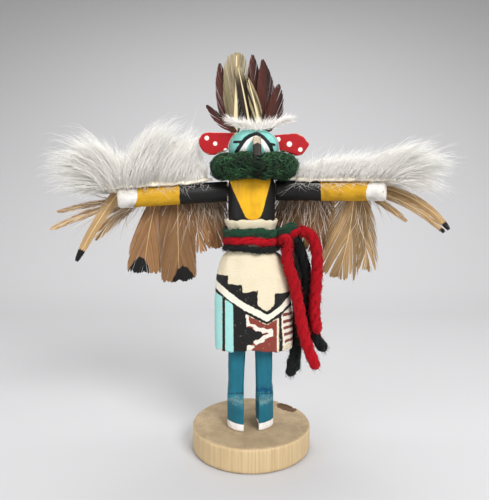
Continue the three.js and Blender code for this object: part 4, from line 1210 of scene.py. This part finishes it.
fur_finish = fibres("fur_hair", srgb(248, 244, 236), srgb(255, 253, 248), 0.2, 0.5, 0.4)
for side_name, sign in SIDES.items():
    fill_with_underfur(side_name, sign)
    lines, tone = fur_lines(sign, FUR_LOCKS[sign], HAIRS_IN_LOCK, 11 + sign)
    loose = fallen_hairs(sign, LOOSE_HAIRS[sign], 15 + sign)
    lines, tone = np.concatenate([lines, loose]), np.concatenate([tone, np.full(len(loose), 0.5)])
    half_wide = widths(HAIR_WIDTHS, len(lines))
    half_wide[-len(loose):] *= LOOSE_THINNER
    hair = mesh_piece(f"{side_name}_fur_hair", **strands(lines, half_wide, tone))
    finished(hair, fur_finish, "fur", f"{side_name}_fur")

# %% [markdown]
# ## Feathers
# A feather is a quill with barbs on both sides, and the barbs cling together in small clumps. A strand for
# each barb would take far too many faces, so each clump is one thin closed leaf that leaves the quill at a
# slant and ends on the vane's outline. Where a feather is worn its clumps narrow and part, so a frayed
# feather is only a matter of one number. Loose barbs and the down near the root are strands. The outline is
# the solid's own, apart from three feathers beside the body that are frayed wider than their solids.

# %% Shape of a feather
QUILL_HALF, SQUARE_CUT = 0.45, 20


def vane_share(t, square, widest, taper):
    """Share of its full width that a vane has along its quill; it ends in a point where square is 0."""
    ends = 1 - np.maximum(0, (t - 0.35) / 0.65) ** 2.4
    if square:
        ends = np.sqrt(np.maximum(0.03, 1 - np.maximum(0, (t - 0.6) / 0.4) ** square))
    return np.minimum(1, (t / widest) ** 0.8) * ends * (1 - taper * t)


def feather_shape(root, tip, bow, face, half, lean, square, widest, taper, skew):
    """Curve of a quill and the vane round it, as functions that give points on them."""
    bend = (root + tip) / 2 + unit(np.cross(face, unit(tip - root))) * 2 * bow * MM
    length = np.linalg.norm(tip - root) / MM
    rise = np.linspace(0.06, 1, 300)
    edge_up = np.append(rise, np.linspace(1, 0.97 if square > SQUARE_CUT else 1, 40))
    edge_out = QUILL_HALF + (half - QUILL_HALF) * vane_share(rise, square, widest, taper)
    edge_out = np.append(edge_out, np.linspace(edge_out[-1], 0.02, 40))
    run = np.concatenate([[0], np.cumsum(np.hypot(np.diff(edge_up) * length, np.diff(edge_out)))])

    def on(t):
        t = np.asarray(t)[..., None]
        return (1 - t) ** 2 * root + 2 * t * (1 - t) * bend + t * t * tip

    def way(t):
        t = np.asarray(t)[..., None]
        return unit(2 * (1 - t) * (bend - root) + 2 * t * (tip - bend))

    def side(t):
        return unit(np.cross(face, way(t)))

    def vane(hand, s, q):
        """Points on one side, from places along the outline and shares of the way out from the quill."""
        s = np.clip(s, 0, run[-1])
        ends, wide = np.interp(s, run, edge_up), np.interp(s, run, edge_out) * (1 + hand * skew)
        origin = np.clip(ends - wide * lean / length, 0.015, 0.97)
        out = hand * side(ends) * (wide * MM)[..., None]
        bow_out = on(origin + 0.42 * (ends - origin)) + 0.6 * out
        share = q[..., None]
        points = (1 - share) ** 2 * on(origin) + 2 * share * (1 - share) * bow_out
        points = points + share ** 2 * (on(ends) + out)
        across = hand * wide * (1.2 * q * (1 - q) + q * q) / half
        return points, across, origin + (ends - origin) * (0.84 * q * (1 - q) + q * q)

    return SimpleNamespace(
        on=on, way=way, side=side, vane=vane, face=face, half=half, length=length, run=run[-1])


backwards, upwards = np.eye(3)[1:]
trial_shape = feather_shape(0 * upwards, 30 * MM * upwards, 0, backwards, 3, 4, 0, 0.4, 0, 0)
print("a trial feather 30 mm long has an outline of", trial_shape.run.round(1), "mm on each side")

# %% Clumps of barbs
LEAF_ROWS, LEAF_COLUMNS = np.array([0, 0.3, 0.6, 0.85, 1.0]), np.array([-1, -0.35, 0.35, 1])
LEAF_HALF_THICK, OTHER_SIDE = 0.04 * MM, 60


def thin_leaves(middles, face, shares, tones, **fields):
    """Closed thin leaves, one for each grid of points in middles[leaf, row, column, xyz]."""
    count, rows, columns, _ = middles.shape
    per = rows * columns

    def both_faces(values):
        one_face = np.broadcast_to(values, (count, rows, columns)).reshape(count, per)
        return np.tile(one_face, 2).ravel()

    flat = middles.reshape(count, per, 3)
    points = np.concatenate([flat + face * LEAF_HALF_THICK, flat - face * LEAF_HALF_THICK], axis=1)
    place = np.arange(per).reshape(rows, columns)
    quads = np.stack([place[:-1, :-1], place[1:, :-1], place[1:, 1:], place[:-1, 1:]], -1).reshape(-1, 4)
    rim = np.concatenate([place[0, :-1], place[:-1, -1], place[-1, :0:-1], place[:0:-1, 0]])
    after = np.roll(rim, -1)
    faces = np.concatenate([
        halved(quads), quads[:, [2, 1, 0]] + per, quads[:, [3, 2, 0]] + per,
        np.stack([rim, after, after + per], 1), np.stack([rim, after + per, rim + per], 1)])
    turned = np.cross(middles[:, 2, 1] - middles[:, 1, 1], middles[:, 1, 2] - middles[:, 1, 1]) @ face
    if turned.sum() < 0:
        faces = faces[:, ::-1]
    skin = {"points": points.reshape(-1, 3)}
    skin["triangles"] = (np.arange(count)[:, None, None] * 2 * per + faces[None]).reshape(-1, 3)
    skin |= {"along": both_faces(shares), "tone": both_faces(tones[:, None, None])}
    return skin | {key: both_faces(values) for key, values in fields.items()}


def clumps(shape, hand, fray, clump, tone, dice):
    """The vane on one side: a leaf for each clump, narrower and further apart the more it is frayed."""
    cuts = np.cumsum(dice.uniform(0.5, 1.5, int(2.2 * shape.run / clump)) * clump)
    cuts = np.concatenate([[0], cuts[cuts < shape.run - 0.3 * clump], [shape.run]])
    middle, half_clump = ((cuts[1:] + cuts[:-1]) / 2)[:, None, None], (np.diff(cuts) / 2)[:, None, None]
    count = len(middle)

    def each(spread):
        return dice.normal(0, spread, (count, 1, 1))

    rows = np.broadcast_to(LEAF_ROWS[None, :, None], (count, len(LEAF_ROWS), len(LEAF_COLUMNS)))
    columns = LEAF_COLUMNS[None, None]
    parted = dice.random((count, 1, 1)) < 0.04 + 0.2 * fray
    narrow = fray * dice.uniform(0, 0.9, (count, 1, 1)) - 0.12 + (0.3 + fray) * parted
    narrow = np.clip(narrow, -0.12, 0.88)
    s = middle + half_clump * (columns * (1 - narrow * rows ** 1.5) + each(0.8) * fray * rows)
    q = rows * (1 - np.abs(each(0.1)) * fray) * (1 - (0.03 + 0.1 * fray) * columns ** 2 * rows ** 4)
    points, across, up = shape.vane(hand, s, q)
    lift = each(0.4) * fray * q ** 1.5 + 0.05 * shape.half * q ** 2
    lift = lift + 0.03 * (np.arange(count) % 2)[:, None, None]
    tones = np.clip(tone + each(0.07 + 0.12 * fray)[:, 0, 0], 0, 1)
    points = points + shape.face * (lift * MM)[..., None]
    return thin_leaves(points, shape.face, q, tones, barb=s + OTHER_SIDE * hand, across=across, up=up)


trial = clumps(trial_shape, 1, 0.2, 1.2, 0.5, np.random.default_rng(1))
print("the clumps on one side of it have", len(trial["triangles"]), "faces")

# %% Loose barbs and down
BARB_WIDTHS, DOWN_WIDTHS = [0.05, 0.06, 0.045, 0], [0.07, 0.1, 0.08, 0.05, 0]


def loose_barbs(shape, hand, fray, tone, dice):
    """Single barbs that have come away from the vane on one side."""
    count = int(shape.run * (0.12 + 1.4 * fray))
    drift = np.array([[0, 0.3, 0.7, 1]])
    s = dice.uniform(0, shape.run, (count, 1)) + drift * dice.normal(0, 0.5 + fray, (count, 1))
    q = 0.45 + dice.uniform(0.5, 0.62, (count, 1)) * np.array([[0, 0.4, 0.75, 1]])
    points, across, up = shape.vane(hand, s, q)
    lift = dice.normal(0.05, 0.15 + 0.4 * fray, (count, 1)) * np.array([[0.3, 0.7, 1]])
    points[:, 1:] += shape.face * (lift * MM)[..., None]
    skin = strands(points, widths(BARB_WIDTHS, count), np.clip(tone + dice.normal(0.1, 0.15, count), 0, 1))
    fields = {"barb": s + OTHER_SIDE * hand, "across": across, "up": up}
    return skin | {key: np.repeat(v, [3, 3, 3, 1], axis=1).ravel() for key, v in fields.items()}


def loose_down(shape, count, dice):
    """Soft strands round the root of the quill."""
    begin = shape.on(dice.uniform(0.03, 0.3, count))
    sideways = dice.uniform(-0.7, 0.7, (count, 1)) * shape.half * MM
    begin = begin + shape.side(np.full(count, 0.2)) * sideways
    reach = dice.uniform(0.16, 0.62, count)[:, None, None] * shape.length * MM
    aim = unit(shape.way(np.full(count, 0.3)) + dice.normal(0, 0.26, (count, 3)))[:, None]
    t = np.linspace(0, 1, 5)[None, :, None]
    lines = begin[:, None] + reach * (t * aim + t * t * dice.normal(0, 0.2, (count, 1, 3)))
    lines[:, 1:] += dice.normal(0, 0.15 * MM, (count, 4, 3))
    return strands(lines, widths(DOWN_WIDTHS, count), dice.uniform(0.1, 1.0, count))


trial = loose_barbs(trial_shape, 1, 0.2, 0.5, np.random.default_rng(1))
print("the loose barbs on one side of it have", len(trial["triangles"]), "faces")

# %% Whole feather
SHAFT_MARK, DOWN_MARK = -1, -2
SHAFT_STEPS, SHAFT_SIDES, SHAFT_END = 12, 7, 0.96


def marked(skin, mark):
    bare = np.zeros(len(skin["points"]))
    return skin | {"barb": bare, "across": bare, "up": bare + mark}


def feather(shape, seed, fray, quill, down, clump, tone):
    """Skins of one feather, with the place of every point across (-1 to 1) and up (0 to 1) the vane."""
    dice = np.random.default_rng(seed)
    shaft = np.linspace(0, SHAFT_END, SHAFT_STEPS)
    size = (1 - 0.8 * shaft)[:, None]
    line = shape.on(shaft) - shape.face * 0.1 * MM
    halves = (quill * MM, 0.7 * quill * MM)
    stalk = tube(line, shape.side(shaft) * size, shape.face * size, *halves, SHAFT_SIDES, False, 0.6)
    parts = [marked(stalk, SHAFT_MARK)]
    for hand in (-1, 1):
        parts.append(clumps(shape, hand, fray, clump, tone, dice))
        parts.append(loose_barbs(shape, hand, fray, tone, dice))
    if down:
        parts.append(marked(loose_down(shape, down, dice), DOWN_MARK))
    return gather(parts)


trial = feather(trial_shape, 1, 0.2, 0.2, 0, 1.2, 0.5)
print("the whole trial feather has", len(trial["triangles"]), "faces")

# %% Feather finish
FEATHER_STAIN, DOWN_COLOUR = (0.5, 0.44, 0.38, 1), srgb(236, 230, 218)


def feather_finish(name, pale, dark, quill, roughness=0.65, stain=FEATHER_STAIN):
    """Pale vane with a stored dark marking, a quill, loose down, and a shade that shifts with the barbs."""
    made, tree, bsdf = finish_of(name, roughness, 0.1, 0.2)
    marked = blend(tree, stored(tree, "dark"), pale, dark)
    coloured = shaded_fibre(tree, marked, marked, 0.9)
    along_outline = {"W": stored(tree, "barb"), "Scale": 2.2, "Detail": 4.0}
    ribs = add_node(tree, "ShaderNodeTexNoise", {"noise_dimensions": "1D"}, along_outline).outputs["Fac"]
    ribs = ramped(tree, ribs, 0.64, 0.36, 0.6)
    coloured = blend(tree, ribs, coloured, stain, "MULTIPLY")
    coloured = blend(tree, scaled(tree, grained(tree, 150, 4), 0.7), coloured, stain, "MULTIPLY")
    quilled = blend(tree, stored(tree, "shaft"), coloured, blend(tree, stored(tree, "dark"), quill, dark))
    quilled = blend(tree, stored(tree, "down"), quilled, DOWN_COLOUR)
    tree.links.new(quilled, bsdf.inputs["Base Color"])
    raise_by(tree, bsdf, ribs, 0.3, 0.0002)
    return made


def feather_piece(name, skins, dark, finish, slot, node):
    up, tone = skins["up"], skins["tone"]
    is_down = up < (SHAFT_MARK + DOWN_MARK) / 2
    kept = {key: v for key, v in skins.items() if key not in ("up", "across")}
    marks = {"dark": dark * ~is_down, "shaft": np.isclose(up, SHAFT_MARK), "down": is_down * 0.9 * tone ** 2}
    piece = mesh_piece(name, **kept, **marks)
    bpy.ops.object.shade_smooth_by_angle(angle=math.radians(60))
    return finished(piece, finish, slot, node)


BLACK = srgb(16, 14, 14)
tan_feather = feather_finish("tan_feather", srgb(169, 127, 85), BLACK, srgb(206, 174, 130))
straw_feather = feather_finish("straw_feather", srgb(209, 175, 126), BLACK, srgb(228, 201, 153))
brown_feather = feather_finish("brown_feather", srgb(100, 46, 35), srgb(56, 26, 21), srgb(70, 40, 30))
barred_feather = feather_finish("barred_feather", srgb(196, 182, 144), srgb(52, 39, 26), srgb(226, 208, 166))
white_feather = feather_finish("white_feather", srgb(250, 248, 245), srgb(238, 235, 230), srgb(246, 242, 234),
                               0.8, (0.80, 0.78, 0.76, 1))
made = (tan_feather, straw_feather, brown_feather, barred_feather, white_feather)
print("feather finishes:", [finish.name for finish in made])

# %% Wing feathers
# root along the arm and height, tip along it and height, bow, half width, layer, fray, squareness of the end,
# widest place, taper, skew, strands of down, tone
WING_FEATHERS = {
    -1: [(38.5, 98.6, 62.0, 93.8, 0.3, 1.3, 2, 0.95, 2.0, 0.5, 0.3, 0, 36, 0.5),
         (39.3, 97.0, 64.8, 87.4, 0.5, 1.5, 1, 1.8, 2.0, 0.5, 0.3, 0, 30, 0.5),
         (39.6, 101.4, 55.7, 75.8, 0.8, 2.2, 0, 0.05, 2.0, 0.1, 0.45, 0, 0, 0.5),
         (31.4, 99.0, 49.2, 83.0, 1.6, 3.1, 3, 1.2, 2.0, 0.42, 0.2, 0, 110, 0.45),
         (24.6, 103, 31.4, 69.8, 1.0, 6.5, 1, 0.24, 60, 0.72, 0, 0, 16, 0.44),
         (18.0, 103, 18.0, 66.2, 0.3, 7.0, 0, 0.12, 60, 0.22, 0, 0, 10, 0.2),
         (11.4, 103, 8.8, 77.0, 0.8, 6.6, 1, 0.6, 4.0, 0.2, 0, 0, 190, 0.6),
         (3.8, 103, 2.2, 78.6, 0.6, 6.0, 2, 0.6, 4.0, 0.12, 0, 0, 190, 0.65)],
    1: [(36.0, 103.2, 63.1, 87.4, -3.2, 2.0, 2, 0.12, 2.0, 0.2, 0.4, 0, 0, 0.5),
        (35.4, 101.7, 61.4, 86.4, -2.2, 1.9, 1, 0.45, 2.0, 0.2, 0.4, 0, 0, 0.4),
        (33.4, 101.0, 48.6, 90.0, -0.4, 1.2, 3, 1.2, 2.0, 0.4, 0, 0, 16, 0.5),
        (31.8, 101.0, 46.0, 91.6, -0.6, 1.1, 4, 1.2, 2.0, 0.4, 0, 0, 24, 0.45),
        (29.8, 103, 34.0, 70.6, -1.2, 4.6, 1, 0.85, 30, 0.4, 0, 0, 16, 0.24),
        (29.2, 103, 23.3, 67.4, -1.2, 8.0, 0, 0.5, 30, 0.17, 0, 0.1, 20, 0.18),
        (13.4, 103, 13.4, 77.4, -0.8, 8.0, 1, 0.35, 4.0, 0.15, 0, 0, 190, 0.55),
        (4.0, 103, 3.2, 79.4, -0.6, 6.4, 2, 0.4, 4.0, 0.12, 0, 0, 190, 0.55)],
}
# where across the vane the black end begins highest up, its height there, and how fast it falls away
BLACK_ENDS = {
    "left_3": (0, 0.84, 0.02), "left_5": (0.3, 0.8, 0.42), "left_6": (-0.25, 0.82, 0.38),
    "right_1": (0, 0.9, 0.02), "right_2": (0, 0.93, 0.02),
}
NO_BLACK_END, BLACK_EDGE = (0, 3, 0), 0.012
STRAW = {-1: (1, 2, 3, 4), 1: (1, 2, 3, 4, 5, 6)}
BLADE_HALF_THICK, LAYER, GAP = 0.4, 1.15, 0.3
WING_QUILL, MUCH_FRAYED = 0.22, 0.9
for side_name, sign in SIDES.items():
    face = np.array([sign * math.sin(ARM_SWEEP), math.cos(ARM_SWEEP), 0])
    for index, row in enumerate(WING_FEATHERS[sign], 1):
        ru, rw, tu, tw, bow, half, layer, fray, square, widest, taper, skew, down, tone = row
        behind = ARM_RADIUS + GAP + BLADE_HALF_THICK + layer * LAYER
        root, tip = wing_point(sign, ru, behind, rw), wing_point(sign, tu, behind, tw)
        lean, clump = (6, 1.6) if fray > MUCH_FRAYED else (3.8, 1.3)
        shape = feather_shape(root, tip, bow, face, half, lean, square, widest, taper, skew)
        skins = feather(shape, 100 + index + sign * 20, fray, WING_QUILL, down, clump, tone)
        middle, height, fall = BLACK_ENDS.get(f"{side_name}_{index}", NO_BLACK_END)
        a = skins["across"]
        up = np.where(np.isclose(skins["up"], SHAFT_MARK), SHAFT_END * skins["along"], skins["up"])
        dark = (up - height - fall * (a - middle) ** 2 + BLACK_EDGE * np.sin(a * 23)) / BLACK_EDGE
        finish = straw_feather if index in STRAW[sign] else tan_feather
        feather_piece(f"{side_name}_vane_{index}", skins, dark, finish, "tan_feather",
                      f"{side_name}_feather_{index}")

# %% [markdown]
# ## Crest
# Eight feathers stand up from the back of the head, brown ones behind and at the sides and pale barred ones
# in front. They come from the same feather maker as the wings, with other widths and markings, and one of the
# pale ones has painted shade over half its vane. A white downy feather lies across the crown and hides their
# roots. Down has no firm vane, so leaves would look too solid: this one is a curved quill with loose strands
# all along it.

# %% Crest
# root across, tip across and height, bow, half width, depth, fray, squareness of the end, quill, tone,
# widest place, skew
CREST = [
    (-5.0, -12.0, 150.0, -1.4, 3.6, 5.6, 0.2, 0, 0.2, 0.45, 0.42, 0),
    (-6.4, -5.6, 153.7, 0.2, 4.9, 4.4, 0.3, 5.0, 1.0, 0.36, 0.5, -0.06),
    (-0.4, -5.2, 148.4, 0.2, 2.2, 3.2, 0.1, 2.0, 0.5, 0.42, 0.42, 0),
    (3.2, -1.4, 143.6, 0.3, 2.1, 2.0, 0.2, 0, 0.6, 0.45, 0.3, 0),
    (3.4, 0.4, 153.2, -0.6, 3.7, 5.6, 0.22, 0, 0.2, 0.46, 0.42, 0.1),
    (5.0, 4.2, 151.1, 0.6, 4.0, 4.4, 0.22, 0, 0.2, 0.42, 0.42, 0.1),
    (6.2, 10.3, 141.8, 0.4, 3.5, 3.2, 0.32, 0, 0.2, 0.5, 0.42, 0.1),
    (-5.2, -17.0, 133.8, -0.8, 2.1, 2.0, 0.45, 0, 0.2, 0.45, 0.42, 0)]
BARRED, CREST_LEAN, CREST_CLUMP = (2, 3, 4), 4.6, 1.0
HEAD = {"x": 0.8, "half_x": 9.6, "half_y": 8.4, "wide_z": 116.6, "dome": 8.4}


def dome_top(x, y):
    reach = ((x - HEAD["x"]) / HEAD["half_x"]) ** 2 + (y / HEAD["half_y"]) ** 2
    return HEAD["wide_z"] + HEAD["dome"] * max(0, 1 - reach) ** (1 / 2.2)


def crest_marks_and_shade(index, a, v):
    """How dark a crest feather is across (a) and up (v) its vane: its markings, and a painted shade over one
    half of the second.
    """
    if index == 2:
        pale_rim = np.clip((0.86 - v) * 4, 0.15, 1) * np.clip((0.84 - np.abs(a)) * 8, 0.15, 1)
        # One half of this vane is darker than the other: painted shade over that half, the other half left
        # paler.
        return pale_rim * np.where(a > 0, 1.0, 0.45)
    if index == 3:
        return np.clip((0.95 - v) * 5, 0, 1)
    if index == 4:
        return np.clip(0.45 + 1.4 * np.sin(8 * a + 9 * v), 0, 1)
    return 0.5 + 0.5 * np.sin(a * 3)


for index, (rx, tx, tz, bow, half, y, fray, square, quill, tone, widest, skew) in enumerate(CREST, 1):
    root, tip = np.array([rx, y, dome_top(rx, y) + 2 * GAP]) * MM, np.array([tx, y, tz]) * MM
    shape = feather_shape(root, tip, bow, backwards, half, CREST_LEAN, square, widest, 0, skew)
    skins = feather(shape, 200 + index, fray, quill, 0, CREST_CLUMP, tone)
    dark = crest_marks_and_shade(index, skins["across"], skins["up"]) * (skins["up"] >= 0)
    kind, finish = ("barred_feather", barred_feather) if index in BARRED else ("brown_feather", brown_feather)
    feather_piece(f"crest_vane_{index}", skins, dark, finish, kind, f"crest_feather_{index}")

# %% White feather across the head
DOWN_SPINE = [
    (-7.4, -4.0, 126.6), (-3.2, -6.0, 124.7), (2.2, -6.8, 124.0), (8.0, -5.8, 124.9), (12.2, -4.2, 127.4)]
DOWN_BARBS, SPINE_STEPS, SPINE_STRIDE, SPINE_HALF = 1500, 200, 8, 0.4 * MM
dice = np.random.default_rng(31)
spine = smooth_route(DOWN_SPINE, SPINE_STEPS)
place = dice.beta(1.1, 1.1, DOWN_BARBS)
begin = spine[(place * (SPINE_STEPS - 1)).astype(int)] + dice.normal(0, 0.35 * MM, (DOWN_BARBS, 3))
lean_out = 2 * place - 1
aim_x = 1.3 * lean_out + dice.normal(0, 0.3, DOWN_BARBS)
aim_y = dice.normal(0.0, 0.28, DOWN_BARBS)
aim_z = 0.75 - 0.25 * np.abs(lean_out) + dice.normal(0, 0.25, DOWN_BARBS)
aim = unit(np.stack([aim_x, aim_y, aim_z], -1))[:, None]
reach = (dice.uniform(1.2, 4.4, DOWN_BARBS) * (1 + 0.15 * lean_out ** 2) * MM)[:, None, None]
t = np.linspace(0, 1, 5)[None, :, None]
lines = begin[:, None] + reach * (t * aim + t * t * dice.normal(0, 0.16, (DOWN_BARBS, 1, 3)))
barbs = strands(lines, widths([0.07, 0.09, 0.08, 0.05, 0], DOWN_BARBS), dice.uniform(0.35, 0.9, DOWN_BARBS))
shaft = spine[::SPINE_STRIDE]
quill = tube(shaft, *carried_frame(shaft), SPINE_HALF, SPINE_HALF, 6, False, 0.7)
whole = gather([quill, barbs])
whole |= {"barb": whole["tone"] * 9, "up": whole["along"], "across": whole["along"]}
feather_piece("white_vane", whole, 0.4 * whole["along"], white_feather, "white_feather", "crest_down")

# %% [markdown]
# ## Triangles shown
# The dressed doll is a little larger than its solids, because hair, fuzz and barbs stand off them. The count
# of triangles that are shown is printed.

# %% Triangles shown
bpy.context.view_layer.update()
shown = [o for o in bpy.data.objects if o.type == "MESH" and o.visible_get()]
print("triangles shown:", sum(len(o.data.loop_triangles) for o in shown))
